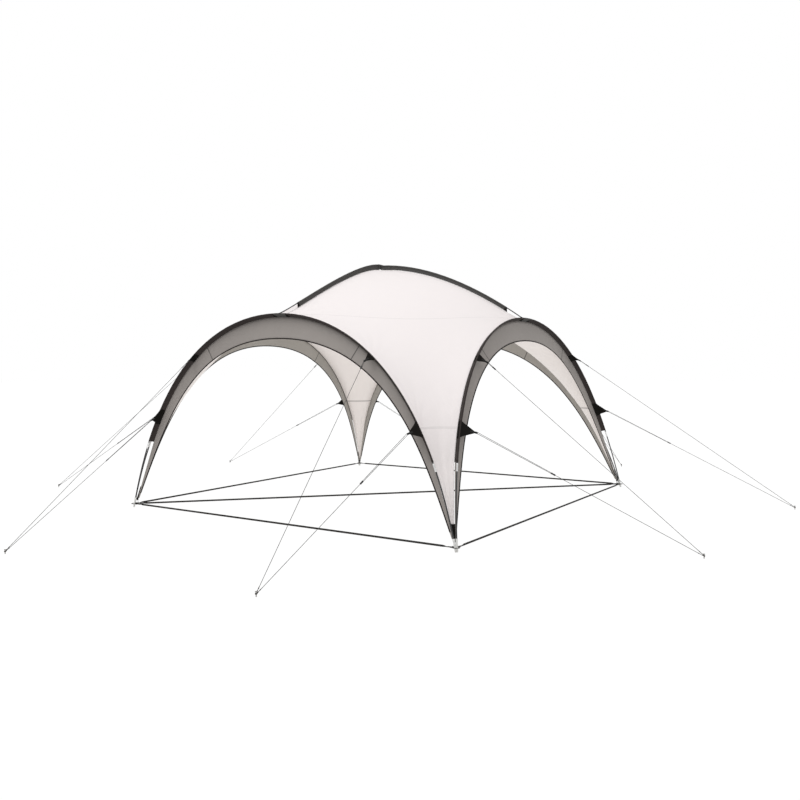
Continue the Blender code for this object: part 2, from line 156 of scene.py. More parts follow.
def along(curve, share):
    """The point at this share of a cubic curve given by its ends and two handles."""
    start, first, second, end = curve
    rest = 1 - share
    return (
        rest**3 * start
        + 3 * rest**2 * share * first
        + 3 * rest * share**2 * second
        + share**3 * end
    )


def half_curve(foot, foot_handle, crown, crown_handle):
    return (foot, foot + foot_handle, crown + Vector((crown_handle, 0, 0)), crown)


ARCH = half_curve(
    Vector((HALF_WIDTH - POLE_SPREAD, -HALF_WIDTH, 0)),
    ARCH_FOOT_HANDLE,
    Vector((0, CROWN_INSET - HALF_WIDTH, CROWN_HEIGHT)),
    ARCH_CROWN_HANDLE,
)
TIP = Vector((HALF_WIDTH - TIP_INSET, TIP_INSET - HALF_WIDTH, TIP_HEIGHT))
HEM = half_curve(
    Vector((HALF_WIDTH - HEM_TIP_INSET, TIP_INSET - HALF_WIDTH, TIP_HEIGHT)),
    HEM_FOOT_HANDLE,
    Vector((0, HEM_INSET - HALF_WIDTH, HEM_HEIGHT)),
    HEM_CROWN_HANDLE,
)


def on_arch(place, curve=ARCH):
    """A point of an arch: place runs from -1 at the left foot, through 0 at the crown, to 1."""
    point = along(curve, 1 - abs(place))
    return Vector((-point.x, point.y, point.z)) if place < 0 else point


def share_where(reached):
    """The share from 0 to 1 at which a test turns true, by halving."""
    low, high = 0.0, 1.0
    for _ in range(40):
        middle = (low + high) / 2
        if reached(middle):
            high = middle
        else:
            low = middle
    return low


def place_at_height(height):
    """Where the right half of the arch is at this height."""
    return share_where(lambda place: on_arch(place).z <= height)


def stations(steps, *stops):
    """Numbers that run evenly from each stop to the next, in this many steps for each stretch."""
    numbers = [stops[0]]
    for count, first, last in zip(steps, stops, stops[1:]):
        numbers += [first + (last - first) * step / count for step in range(1, count + 1)]
    return numbers


def pick(numbers, share):
    """The number that stands at this share of the way through a list."""
    return numbers[round(share * (len(numbers) - 1))]


SLEEVE_END = place_at_height(SLEEVE_END_HEIGHT)


def run_at(place):
    """How far, and which way, the arch runs for each unit of place."""
    after = min(place + 0.002, 1)
    before = max(place - 0.002, -1)
    return (on_arch(after) - on_arch(before)) / (after - before)


def inward(place):
    """The direction in the arch's own plane that points into its opening."""
    return BACK.cross(run_at(place)).normalized()


def on_seam(place):
    """The seam where sleeve, roof and valance meet; below the sleeve it runs straight to the tip."""
    held = max(-SLEEVE_END, min(SLEEVE_END, place))
    seam = on_arch(held) + SLEEVE_IN * inward(held) + SLEEVE_BACK * BACK
    if held == place:
        return seam
    tip = Vector((-TIP.x if place < 0 else TIP.x, TIP.y, TIP.z))
    return seam.lerp(tip, (abs(place) - SLEEVE_END) / (1 - SLEEVE_END))


def ridge_of(side):
    return RIDGES["lengthways" if side % 2 == 0 else "crossways"]


def ridge_curve(side):
    """One side's half of a ridge pole, from its seat behind the arch's crown to the apex."""
    ridge = ridge_of(side)
    crown = ARCH[3] + RIDGE_SEAT * BACK
    apex = (APEX_HEIGHT + ridge["lift"]) * UP
    handle = ridge["crown_handles"][side // 2]
    return (crown, crown + handle, apex - ridge["apex_handle"] * BACK, apex)


@cache
def sleeve_shares(side):
    """The shares of a ridge curve at which its sleeve starts and ends."""
    curve = ridge_curve(side)
    bare = ridge_of(side)["bare"]
    starts = share_where(lambda share: along(curve, share).y - curve[0].y > bare)
    ends = share_where(lambda share: curve[3].y - along(curve, share).y < SLEEVE_TO_APEX)
    return starts, ends


def ridge_seam(side, share):
    """The seam below a ridge pole; short of the sleeve it runs down to the seam of the arch."""
    short = max(0, 1 - share / sleeve_shares(side)[0])
    to_arch_seam = (SLEEVE_BACK - RIDGE_SEAT) * BACK - SLEEVE_IN * UP
    return along(ridge_curve(side), share) + short * to_arch_seam - (1 - short) * RIDGE_DROP * UP


def corner(side):
    return stand(Vector((HALF_WIDTH, -HALF_WIDTH, 0)), side)


def arch_spot(side, place):
    return stand(on_arch(place), side)


def seam_spot(side, place):
    return stand(on_seam(place), side)


def ridge_spot(side, share):
    return stand(along(ridge_curve(side), share), side)


def arch_step(side, place):
    """How far, and which way, a side's arch runs for each unit of place."""
    return (arch_spot(side, place + 0.002) - arch_spot(side, place - 0.002)) / 0.004


def sleeve_axes(centre, seam, run):
    """The way from a pole to the seam of its sleeve, the way out of the sleeve's face, and its depth."""
    across = (seam - centre).normalized()
    return across, run.cross(across).normalized(), (seam - centre).length


# Settings


def colour_setting(name, about, default):
    return FloatVectorProperty(
        name=name, description=about, subtype="COLOR", size=3, min=0, max=1, default=default
    )


def length_setting(name, about, low, high, default):
    return FloatProperty(name=name, description=about, unit="LENGTH", min=low, max=high, default=default)


class ShelterCloth(bpy.types.PropertyGroup):
    """Colours and sizes of the sewn parts."""

    roof: colour_setting("Roof", "Colour of the roof cloth", (0.845, 0.795, 0.79))
    valance: colour_setting("Valance", "Colour of the crescents in the arches", (0.285, 0.259, 0.241))
    sleeve: colour_setting("Sleeves", "Colour of the pole sleeves", (0.030, 0.023, 0.021))
    ridge: colour_setting("Ridge Sleeves", "Colour of the ridge poles' sleeves", (0.066, 0.064, 0.061))
    patch: colour_setting("Patches", "Colour of patches and tabs that take a pull", (0.008, 0.007, 0.006))
    roof_thickness: length_setting("Roof Thickness", "Thickness of the roof cloth", 0.0002, 0.003, 0.0009)
    valance_thickness: length_setting(
        "Valance Thickness", "Thickness of the valance cloth", 0.0002, 0.003, 0.0007
    )
    binding: length_setting("Hem Binding", "Width of the tape that binds a hem", 0.004, 0.03, 0.010)
    fold: length_setting(
        "Fold Height", "Height of the pull folds that fan out from a patch", 0, 0.01, 0.0030
    )
    threads: IntProperty(
        name="Threads", description="Threads in a metre of the roof's weave",
        min=200, max=4000, default=1400,
    )


class ShelterPoles(bpy.types.PropertyGroup):
    """Colours and sizes of the poles and feet."""

    pole: colour_setting("Poles", "Colour of the glass-fibre poles", (0.022, 0.022, 0.023))
    cap: colour_setting("Caps", "Colour of the end caps", (0.72, 0.72, 0.70))
    ferrule_length: length_setting(
        "Ferrule Length", "Length of the metal tube that joins two pole sections", 0.02, 0.12, 0.062
    )
    ferrule_radius: length_setting("Ferrule Radius", "Radius of that tube", 0.005, 0.012, 0.0072)


class ShelterLines(bpy.types.PropertyGroup):
    """Colours and sizes of the straps and the guy lines."""

    webbing: colour_setting("Webbing", "Colour of the straps", (0.018, 0.018, 0.018))
    cord: colour_setting("Cord", "Colour of the guy lines", (0.045, 0.044, 0.043))
    strap_width: length_setting("Strap Width", "Width of the ground straps", 0.008, 0.04, 0.016)
    strap_thickness: length_setting(
        "Strap Thickness", "Thickness of the ground straps", 0.001, 0.005, 0.0025
    )
    cord_diameter: length_setting("Cord Diameter", "Thickness of the guy lines", 0.0015, 0.006, 0.0036)
    runner_length: length_setting(
        "Runner Length", "Length of the slider that tightens a guy line", 0.02, 0.06, 0.036
    )
    double_share: FloatProperty(
        name="Doubled Share", description="Share of a lower guy line that runs double, to its runner",
        subtype="FACTOR", min=0.1, max=0.6, default=0.36,
    )


class ShelterStage(bpy.types.PropertyGroup):
    """The floor, the light and the camera."""

    floor: length_setting("Floor Size", "Side of the pale floor", 20, 200, 90)
    sky: FloatProperty(
        name="Soft Light", description="Strength of the light from all round",
        min=0, max=3, default=0.62,
    )
    key: FloatProperty(
        name="Key Light", description="Strength of the large light above the front",
        min=0, max=3, default=0.34,
    )
    lens: FloatProperty(
        name="Focal Length", description="Focal length of the camera on a 36 mm wide picture",
        unit="CAMERA", min=10, max=200, default=37.60,
    )


# Finishes


def chosen(group):
    """The settings of one group: cloth, poles, lines or stage."""
    return getattr(bpy.context.scene, f"shelter_{group}")


def add_node(tree, kind, inputs=(), **settings):
    """Adds a shader node; inputs pairs a socket's name or number with a value or with an output."""
    node = tree.nodes.new(kind)
    for name, value in settings.items():
        setattr(node, name, value)
    for name, value in dict(inputs).items():
        if isinstance(value, bpy.types.NodeSocket):
            tree.links.new(value, node.inputs[name])
        else:
            node.inputs[name].default_value = value
    return node


def reckon(tree, operation, *values, clamp=False):
    """A Math node's output."""
    made = add_node(
        tree, "ShaderNodeMath", enumerate(values), operation=operation, use_clamp=clamp
    )
    return made.outputs[0]


def split(tree, vector):
    return add_node(tree, "ShaderNodeSeparateXYZ", {0: vector}).outputs


def noise(tree, vector, scale, detail, stretch=None, **others):
    """A Noise Texture's value, on coordinates that may be stretched first."""
    if stretch:
        vector = add_node(tree, "ShaderNodeMapping", {"Vector": vector, "Scale": stretch}).outputs[0]
    inputs = {"Vector": vector, "Scale": scale, "Detail": detail, **others}
    return add_node(tree, "ShaderNodeTexNoise", inputs).outputs[0]


def graded(tree, value, low, high, first, last):
    """A number that goes from first to last as a value goes from low to high."""
    inputs = {0: value, 1: low, 2: high, 3: first, 4: last}
    return add_node(tree, "ShaderNodeMapRange", inputs).outputs[0]


def shade(colour, factor, lift=0.0):
    """A darker or lighter colour."""
    return tuple(min(1, part * factor + lift) for part in colour)


def tint(colour, factors):
    """A colour with each of its parts changed by a factor of its own."""
    return tuple(part * factor for part, factor in zip(colour, factors))


def blend(tree, share, first, second):
    """Mixes two colours, given as triples or sockets."""
    first, second = ((*part, 1) if isinstance(part, tuple) else part for part in (first, second))
    node = add_node(tree, "ShaderNodeMix", {0: share, 6: first, 7: second}, data_type="RGBA")
    return node.outputs[2]


def effect(name, inputs, outputs, fill):
    """A shader node group, made the first time that a finish asks for it."""
    made = bpy.data.node_groups.get(name)
    if made:
        return made
    made = bpy.data.node_groups.new(name, "ShaderNodeTree")
    for label, (kind, value) in inputs.items():
        socket = made.interface.new_socket(name=label, in_out="INPUT", socket_type=f"NodeSocket{kind}")
        socket.default_value = value
    for label, kind in outputs.items():
        made.interface.new_socket(name=label, in_out="OUTPUT", socket_type=f"NodeSocket{kind}")
    given = made.nodes.new("NodeGroupInput").outputs
    result = made.nodes.new("NodeGroupOutput").inputs
    for label, socket in fill(made, given).items():
        made.links.new(socket, result[label])
    return made


def use(tree, made, inputs):
    return add_node(tree, "ShaderNodeGroup", inputs, node_tree=made).outputs


def weave():
    """Plain weave: threads that pass over and under each other."""

    def fill(tree, given):
        size = add_node(tree, "ShaderNodeVectorMath", {0: given["Vector"]}, operation="SCALE")
        tree.links.new(given["Threads"], size.inputs["Scale"])
        axes = split(tree, size.outputs[0])
        round_threads = [
            reckon(tree, "ABSOLUTE", reckon(tree, "SINE", reckon(tree, "MULTIPLY", axis, pi)))
            for axis in axes[:2]
        ]
        steps = [reckon(tree, "FLOOR", axis) for axis in axes[:2]]
        over = reckon(tree, "PINGPONG", reckon(tree, "ADD", *steps), 1.0)
        rise = reckon(tree, "SUBTRACT", *round_threads)
        return {"Height": reckon(tree, "MULTIPLY_ADD", rise, over, round_threads[1])}

    inputs = {"Vector": ("Vector", (0, 0, 0)), "Threads": ("Float", 1000.0)}
    return effect("Weave", inputs, {"Height": "Float"}, fill)


def tone():
    """Slow and fine variation of a colour over a surface."""

    def fill(tree, given):
        slow = noise(tree, given["Vector"], given["Scale"], 4.0)
        fine = noise(tree, given["Vector"], reckon(tree, "MULTIPLY", given["Scale"], 14.0), 2.0)
        both = reckon(tree, "ADD", slow, reckon(tree, "MULTIPLY", fine, 0.4))
        change = reckon(tree, "MULTIPLY", reckon(tree, "SUBTRACT", both, 0.7), given["Amount"])
        value = reckon(tree, "ADD", change, 1.0)
        colour = add_node(tree, "ShaderNodeHueSaturation", {"Value": value, "Color": given["Color"]})
        return {"Color": colour.outputs[0]}

    inputs = {
        "Vector": ("Vector", (0, 0, 0)),
        "Scale": ("Float", 2.0),
        "Amount": ("Float", 0.1),
        "Color": ("Color", (0.5, 0.5, 0.5, 1)),
    }
    return effect("Tone Variation", inputs, {"Color": "Color"}, fill)


def stitch_row():
    """A row of stitches: Across is the distance from the row and Along the place on it, in metres."""

    def fill(tree, given):
        beside = reckon(tree, "ABSOLUTE", given["Across"])
        on_row = reckon(tree, "LESS_THAN", beside, reckon(tree, "MULTIPLY", given["Width"], 0.5))
        turn = reckon(tree, "PINGPONG", given["Along"], reckon(tree, "MULTIPLY", given["Pitch"], 0.5))
        share = reckon(tree, "DIVIDE", turn, given["Pitch"])
        return {"Mask": reckon(tree, "MULTIPLY", on_row, reckon(tree, "GREATER_THAN", share, 0.11))}

    inputs = {
        "Across": ("Float", 0.0),
        "Along": ("Float", 0.0),
        "Pitch": ("Float", 0.0035),
        "Width": ("Float", 0.0009),
    }
    return effect("Stitch Row", inputs, {"Mask": "Float"}, fill)


def scuffs():
    """Patches where handling has dulled or marked a surface."""

    def fill(tree, given):
        spots = noise(tree, given["Vector"], given["Scale"], 6.0, Roughness=0.65)
        return {"Mask": graded(tree, spots, 0.52, 0.72, 0.0, given["Amount"])}

    inputs = {"Vector": ("Vector", (0, 0, 0)), "Scale": ("Float", 60.0), "Amount": ("Float", 0.5)}
    return effect("Scuffs", inputs, {"Mask": "Float"}, fill)


def ground_dust():
    """Dust and splashes that fade out with height above the ground."""

    def fill(tree, given):
        height = split(tree, given["Vector"])[2]
        low = reckon(tree, "SUBTRACT", 1.0, reckon(tree, "DIVIDE", height, given["Height"]), clamp=True)
        share = reckon(tree, "MULTIPLY", low, noise(tree, given["Vector"], 45.0, 5.0))
        return {"Mask": reckon(tree, "MULTIPLY", share, given["Amount"], clamp=True)}

    inputs = {"Vector": ("Vector", (0, 0, 0)), "Height": ("Float", 0.3), "Amount": ("Float", 0.3)}
    return effect("Ground Dust", inputs, {"Mask": "Float"}, fill)


DUST = (0.30, 0.26, 0.20)
LINING_TINT = (1.0, 0.985, 0.945)  # a little warmer
VALANCE_INSIDE_LIGHT_TINT = (1.22, 1.27, 1.24)  # painted light: the inside face is made lighter, in place of the light that comes through thin cloth
LEG_SEAM_HEIGHT = 0.87  # above the ground
PANEL_LENGTH = 2.6  # of a roof panel's edge, foot to crown or crown to apex, on its UV map
VALANCE_SEAM = 0.405  # the place on the arch where a valance's cross seam starts
VALANCE_HEM_SEAM = 0.28  # and the place on its hem where it ends
VALANCE_SPREAD = 2.4  # metres of UV map for each unit of place


def start_finish(name, roughness, **values):
    """A new material, its tree, its shader and the coordinates that its patterns read."""
    made = bpy.data.materials.new(name)
    made.use_nodes = True
    tree = made.node_tree
    shader = tree.nodes["Principled BSDF"]
    shader.inputs["Roughness"].default_value = roughness
    for socket, value in values.items():
        shader.inputs[socket.replace("_", " ")].default_value = value
    coordinates = tree.nodes.new("ShaderNodeTexCoord").outputs
    return made, tree, shader.inputs, coordinates["Object"], coordinates["UV"]


def raise_surface(tree, shader, layers):
    """Feeds heights, each with its depth in metres, through one Bump node after the other."""
    normal = None
    for height, depth in layers:
        bump = add_node(tree, "ShaderNodeBump", {"Height": height, "Distance": depth, "Strength": 1.0})
        if normal:
            tree.links.new(normal, bump.inputs["Normal"])
        normal = bump.outputs[0]
    tree.links.new(normal, shader["Normal"])


def varied(tree, place, scale, amount, colour):
    """A colour that varies slowly and finely over a surface."""
    inputs = {"Vector": place, "Scale": scale, "Amount": amount, "Color": (*colour, 1)}
    return use(tree, tone(), inputs)["Color"]


def colour_and_dust(tree, shader, colour, place, height, amount):
    """Puts ground dust over a colour and sends both to the shader."""
    dust = use(tree, ground_dust(), {"Vector": place, "Height": height, "Amount": amount})["Mask"]
    tree.links.new(blend(tree, dust, colour, DUST), shader["Base Color"])


def creases(tree, uv, scale, stretch):
    """Fine irregular creases of a tight cloth, drawn out along its length."""
    return noise(tree, uv, scale, 3.0, stretch=(stretch, 1.0, 1.0))


def seam_at(tree, across, along, half_width):
    """A flat seam with a row of stitches along each side: its raised band and its stitches."""
    beside = reckon(tree, "ABSOLUTE", across)
    band = graded(tree, beside, half_width, half_width + 0.0012, 1.0, 0.0)
    row = reckon(tree, "SUBTRACT", beside, half_width - 0.0018)
    return band, use(tree, stitch_row(), {"Across": row, "Along": along})["Mask"]


def greatest(tree, sockets):
    most = sockets[0]
    for socket in sockets[1:]:
        most = reckon(tree, "MAXIMUM", most, socket)
    return most


def finish_cloth(
    name, colour, threads, seams=None, roughness=0.72, crease=0.0006, tones=0.10, scale=1.3,
    seam_shade=0.90, gloss=0.5, sheen=0.12, dust=(0.45, 0.16),
):
    """Coated cloth: weave, creases, tone, and the seams that seams(tree, place, uv) puts on it."""
    made, tree, shader, place, uv = start_finish(
        name, roughness, Sheen_Weight=sheen, Sheen_Roughness=0.5, Specular_IOR_Level=gloss
    )
    toned = varied(tree, place, scale, tones, colour)
    threading = use(tree, weave(), {"Vector": uv, "Threads": float(threads)})["Height"]
    layers = [(creases(tree, uv, 9.0, 0.35), crease), (threading, 0.00008)]
    if seams:
        band, thread = (greatest(tree, sockets) for sockets in zip(*seams(tree, place, uv)))
        toned = blend(tree, reckon(tree, "MULTIPLY", band, 0.8), toned, shade(colour, seam_shade))
        toned = blend(tree, reckon(tree, "MULTIPLY", thread, 0.6), toned, shade(colour, 0.6))
        layers += [(band, 0.0005), (thread, -0.0003)]
    colour_and_dust(tree, shader, toned, place, *dust)
    raise_surface(tree, shader, layers)
    return made


def finish_rod(name, colour, roughness, metallic, scale, coat=0.0):
    """A drawn rod: fine lines along it, scuffs, and dust near the ground."""
    made, tree, shader, place, uv = start_finish(name, roughness, Metallic=metallic, Coat_Weight=coat)
    worn = use(tree, scuffs(), {"Vector": place, "Scale": scale, "Amount": 0.5})["Mask"]
    toned = blend(tree, worn, varied(tree, place, 25.0, 0.25, colour), shade(colour, 1.25, 0.02))
    tree.links.new(reckon(tree, "MULTIPLY_ADD", worn, 0.3, roughness), shader["Roughness"])
    grain = noise(tree, uv, 1500.0, 1.0, stretch=(1.0, 0.02, 1.0))
    colour_and_dust(tree, shader, toned, place, 0.12, 0.5)
    raise_surface(tree, shader, [(grain, 0.00005), (creases(tree, uv, 900.0, 1.0), 0.00002)])
    return made


def finish_moulded(name, colour, roughness):
    """Moulded plastic: a fine grain, scuffs and dust."""
    made, tree, shader, place, _ = start_finish(name, roughness, Coat_Weight=0.08)
    worn = use(tree, scuffs(), {"Vector": place, "Scale": 120.0, "Amount": 0.35})["Mask"]
    toned = blend(tree, worn, varied(tree, place, 40.0, 0.12, colour), shade(colour, 0.8, 0.02))
    tree.links.new(reckon(tree, "MULTIPLY_ADD", worn, 0.25, roughness), shader["Roughness"])
    colour_and_dust(tree, shader, toned, place, 0.05, 0.4)
    raise_surface(tree, shader, [(noise(tree, place, 1800.0, 2.0), 0.00006)])
    return made


def finish_webbing(name, colour, ribs, edge):
    """Woven webbing: ribs across it, a chevron along it, and a paler, fluffed edge."""
    made, tree, shader, place, uv = start_finish(
        name, 0.8, Sheen_Weight=0.06, Sheen_Roughness=0.4, Specular_IOR_Level=0.16
    )
    threading = use(tree, weave(), {"Vector": uv, "Threads": float(ribs)})["Height"]
    axes = split(tree, uv)
    slant = reckon(tree, "ADD", axes[1], reckon(tree, "PINGPONG", axes[0], 0.0025))
    chevron = reckon(tree, "MULTIPLY", reckon(tree, "PINGPONG", slant, 0.001), 1000.0)
    near_edge = graded(tree, reckon(tree, "ABSOLUTE", axes[0]), edge * 0.75, edge, 0.0, 0.35)
    toned = blend(tree, near_edge, varied(tree, place, 8.0, 0.35, colour), shade(colour, 2.2, 0.01))
    colour_and_dust(tree, shader, toned, place, 0.12, 0.12)
    raise_surface(tree, shader, [(chevron, 0.00025), (threading, 0.00015)])
    return made


def finish_cord(name, colour):
    """Braided cord: strands that cross over each other round it, with a paler tracer thread."""
    made, tree, shader, place, uv = start_finish(name, 0.75, Sheen_Weight=0.08, Specular_IOR_Level=0.25)
    axes = split(tree, uv)
    slants = [reckon(tree, "MULTIPLY_ADD", axes[0], way, axes[1]) for way in (1.0, -1.0)]
    strands = [reckon(tree, "PINGPONG", slant, 0.0012) for slant in slants]
    braid = reckon(tree, "MULTIPLY", greatest(tree, strands), 830.0)
    tracer = reckon(tree, "MULTIPLY", reckon(tree, "GREATER_THAN", strands[0], 0.00105), 0.5)
    toned = blend(tree, tracer, varied(tree, place, 30.0, 0.5, colour), shade(colour, 2.5, 0.02))
    colour_and_dust(tree, shader, toned, place, 0.08, 0.3)
    raise_surface(tree, shader, [(braid, 0.0004)])
    return made


def finish(name):
    """The named material, made the first time that a piece asks for it."""
    return bpy.data.materials.get(name) or FINISHES[name](name)


def leg_seam(tree, place, slant):
    """The seam across each leg of the roof, which shows on both faces of the cloth."""
    above = reckon(tree, "SUBTRACT", split(tree, place)[2], LEG_SEAM_HEIGHT)
    return seam_at(tree, above, slant, 0.0075)


def finish_roof(name):
    def seams(tree, place, uv):
        x, y = split(tree, uv)[:2]
        slant = reckon(tree, "SUBTRACT", x, y)
        found = [leg_seam(tree, place, slant)]
        for across, along_it in ((x, y), (y, x)):
            found.append(seam_at(tree, reckon(tree, "SUBTRACT", PANEL_LENGTH, across), along_it, 0.009))
            found.append(seam_at(tree, across, along_it, 0.007))
        beyond = reckon(tree, "SUBTRACT", reckon(tree, "ADD", x, y), PANEL_LENGTH)
        found.append(seam_at(tree, reckon(tree, "MULTIPLY", beyond, 0.707), slant, 0.0045))
        return found

    cloth = chosen("cloth")
    # The legs turn darker and browner towards the bottom, fading out 1.1 m above the ground.
    return finish_cloth(
        name, tuple(cloth.roof), cloth.threads, seams, roughness=0.66, tones=0.035, scale=0.8,
        dust=(1.1, 0.30),
    )


def finish_lining(name):
    def seams(tree, place, uv):
        x, y = split(tree, uv)[:2]
        return [leg_seam(tree, place, reckon(tree, "SUBTRACT", x, y))]

    cloth = chosen("cloth")
    return finish_cloth(
        name, tint(cloth.roof, LINING_TINT), cloth.threads, seams, roughness=0.5, tones=0.05, scale=0.8,
        seam_shade=0.5,
    )


def finish_valance(name):
    def seams(tree, place, uv):
        x, y = split(tree, uv)[:2]
        beside = reckon(tree, "SUBTRACT", reckon(tree, "ABSOLUTE", x), VALANCE_SEAM * VALANCE_SPREAD)
        return [seam_at(tree, beside, y, 0.0045)]

    cloth = chosen("cloth")
    # The inside face of a valance is painted lighter, in place of the light that shines through the thin
    # cloth.
    tints = VALANCE_INSIDE_LIGHT_TINT if name == "Valance Lining" else (1, 1, 1)
    return finish_cloth(
        name, tint(cloth.valance, tints), cloth.threads, seams, tones=0.2, crease=0.0012, seam_shade=0.12
    )


def finish_sleeve(name):
    def seams(tree, place, uv):
        x, y = split(tree, uv)[:2]
        return [seam_at(tree, reckon(tree, "SUBTRACT", x, 0.020), y, 0.0022)]

    cloth = chosen("cloth")
    colour = tuple(cloth.ridge if name.startswith("Ridge") else cloth.sleeve)
    return finish_cloth(
        name, colour, 900, seams, roughness=0.8, tones=0.45, crease=0.0008, gloss=0.25, sheen=0.04,
        dust=(0.9, 0.07),
    )


def finish_patch(name):
    return finish_cloth(
        name, tuple(chosen("cloth").patch), 700, roughness=0.8, tones=0.5, scale=9.0, gloss=0.08,
        sheen=0.0, dust=(0.2, 0.02),
    )


FINISHES = {
    "Roof Cloth": finish_roof,
    "Roof Lining": finish_lining,
    "Valance Cloth": finish_valance,
    # the inside face of a valance, painted lighter for the light through the cloth
    "Valance Lining": finish_valance,
    "Arch Sleeve Cloth": finish_sleeve,
    "Ridge Sleeve Cloth": finish_sleeve,
    "Patch Cloth": finish_patch,
    "Hem Tape": lambda name: finish_webbing(name, (0.014, 0.011, 0.010), 1200, 0.006),
    "Strap Webbing": lambda name: finish_webbing(name, tuple(chosen("lines").webbing), 1000, 0.0065),
    "Braided Cord": lambda name: finish_cord(name, tuple(chosen("lines").cord)),
    "Glass Fibre": lambda name: finish_rod(name, tuple(chosen("poles").pole), 0.38, 0.0, 30.0, 0.15),
    "Ferrule Steel": lambda name: finish_rod(name, (0.82, 0.82, 0.81), 0.32, 1.0, 60.0),
    "Peg Steel": lambda name: finish_rod(name, (0.42, 0.42, 0.42), 0.36, 1.0, 80.0),
    "Cap Plastic": lambda name: finish_moulded(name, tuple(chosen("poles").cap), 0.42),
    "Black Plastic": lambda name: finish_moulded(name, (0.018, 0.018, 0.018), 0.38),
}


# Making


def read(numbers, share):
    """The number at this share of the way through a list, between its members too."""
    index = min(share, 0.999999) * (len(numbers) - 1)
    low = int(index)
    return numbers[low] + (index - low) * (numbers[low + 1] - numbers[low])


def smooth(value, low, high):
    """0 below low, 1 above high, and a smooth rise between."""
    share = min(1, max(0, (value - low) / (high - low)))
    return share * share * (3 - 2 * share)


def distances(points):
    """How far along its points each point of a path lies."""
    far = [0.0]
    for first, second in zip(points, points[1:]):
        far.append(far[-1] + (second - first).length)
    return far


def add_grid(bm, columns, rows, place, chart):
    """Adds a grid bent into shape: place gives its points, and chart its UV map, for two shares."""
    layer = bm.loops.layers.uv.verify()
    verts = bmesh.ops.create_grid(bm, x_segments=columns, y_segments=rows, size=0.5)["verts"]
    for face in {face for vert in verts for face in vert.link_faces}:
        for loop in face.loops:
            loop[layer].uv = chart(loop.vert.co.x + 0.5, loop.vert.co.y + 0.5)
    for vert in verts:
        vert.co = place(vert.co.x + 0.5, vert.co.y + 0.5)
    return verts


def add_skin(bm, sections, around=None, closed_ends=True):
    """Adds a tube through sections, which are closed loops of the same number of points."""
    count = len(sections[0])
    middles = [sum(section, Vector()) / count for section in sections]
    lengths = distances(middles)
    if around is None:
        around = distances([*sections[0], sections[0][0]])
    last = len(sections) - 1

    def place(u, v):
        return sections[round(v * last)][round(u * count) % count]

    def chart(u, v):
        return around[round(u * count)], lengths[round(v * last)]

    verts = add_grid(bm, count, last, place, chart)
    bmesh.ops.remove_doubles(bm, verts=verts, dist=WELD)
    if closed_ends:
        left = [vert for vert in verts if vert.is_valid]
        edges = {edge for vert in left for edge in vert.link_edges if edge.is_boundary}
        bmesh.ops.holes_fill(bm, edges=list(edges), sides=0)


def arc(centre, first, second, start, end, steps):
    """Points round a centre, from one angle to another: first is the way at 0, second at 90 degrees."""
    angles = [start + (end - start) * step / steps for step in range(steps + 1)]
    return [centre + cos(angle) * first + sin(angle) * second for angle in angles]


def flat_arc(x, y, radius, start, end, steps):
    """Points of an arc on an outline's own two axes."""
    return arc(Vector((x, y)), Vector((radius, 0)), Vector((0, radius)), start, end, steps)


def rounded_slab(width, height, rounding, steps=2):
    """The outline of a flat bar with rounded corners, as places across and up."""
    outline = []
    for quarter, (x, y) in enumerate(((1, 1), (-1, 1), (-1, -1), (1, -1))):
        middle = x * (width / 2 - rounding), y * (height / 2 - rounding)
        outline += flat_arc(*middle, rounding, quarter * pi / 2, (quarter + 1) * pi / 2, steps)
    return outline


def round_outline(radius, sides):
    return [(radius * cos(2 * pi * k / sides), radius * sin(2 * pi * k / sides)) for k in range(sides)]


def runs(points):
    """Which way a path runs at each of its points."""
    found = []
    for index in range(len(points)):
        after = points[min(index + 1, len(points) - 1)]
        before = points[max(index - 1, 0)]
        found.append((after - before).normalized())
    return found


def add_sweep(bm, points, asides, outline):
    """Adds an outline swept along a path; asides point along the outline's first axis at each point.

    The outline may be a function of the share of the way along.
    """
    last = len(points) - 1
    sections = []
    for index, (point, run, aside) in enumerate(zip(points, runs(points), asides)):
        aside = (aside - aside.dot(run) * run).normalized()
        lift = run.cross(aside)
        drawn = outline(index / last) if callable(outline) else outline
        sections.append([point + x * aside + y * lift for x, y in drawn])
    first = outline(0) if callable(outline) else outline
    around = [x for x, y in [*first, first[0]]]
    add_skin(bm, sections, around)


def add_rod(bm, points, radius, sides=12, reference=UP, closed_ends=True):
    """Adds a round rod or cord along a path; the radius may be a function of the share along it."""
    last = len(points) - 1
    sections = []
    aside = None
    for index, (point, run) in enumerate(zip(points, runs(points))):
        if aside is None:
            aside = run.cross(reference)
            if aside.length < 0.1:
                aside = run.cross(RIGHT)
        aside = (aside - aside.dot(run) * run).normalized()
        lift = run.cross(aside)
        held = radius(index / last) if callable(radius) else radius
        sections.append([point + x * aside + y * lift for x, y in round_outline(held, sides)])
    add_skin(bm, sections, closed_ends=closed_ends)


def add_turned(bm, profile, sides, matrix, ring=False):
    """Adds a solid turned about Z from places given by radius and height; a ring's profile is closed."""
    verts = [bm.verts.new((radius, 0, height)) for radius, height in profile]
    edges = [bm.edges.new(pair) for pair in zip(verts, verts[1:] + verts[:1] if ring else verts[1:])]
    before = set(bm.verts) - set(verts)
    bmesh.ops.spin(
        bm, geom=verts + edges, axis=UP, cent=(0, 0, 0), angle=2 * pi, steps=sides, use_merge=True
    )
    made = [vert for vert in bm.verts if vert not in before]
    bmesh.ops.remove_doubles(bm, verts=made, dist=WELD)
    made = [vert for vert in bm.verts if vert not in before]
    bmesh.ops.transform(bm, matrix=matrix, verts=made)


def along_axis(origin, axis):
    """The matrix that puts Z on an axis from this origin."""
    return Matrix.Translation(origin) @ axis.to_track_quat("Z", "X").to_matrix().to_4x4()


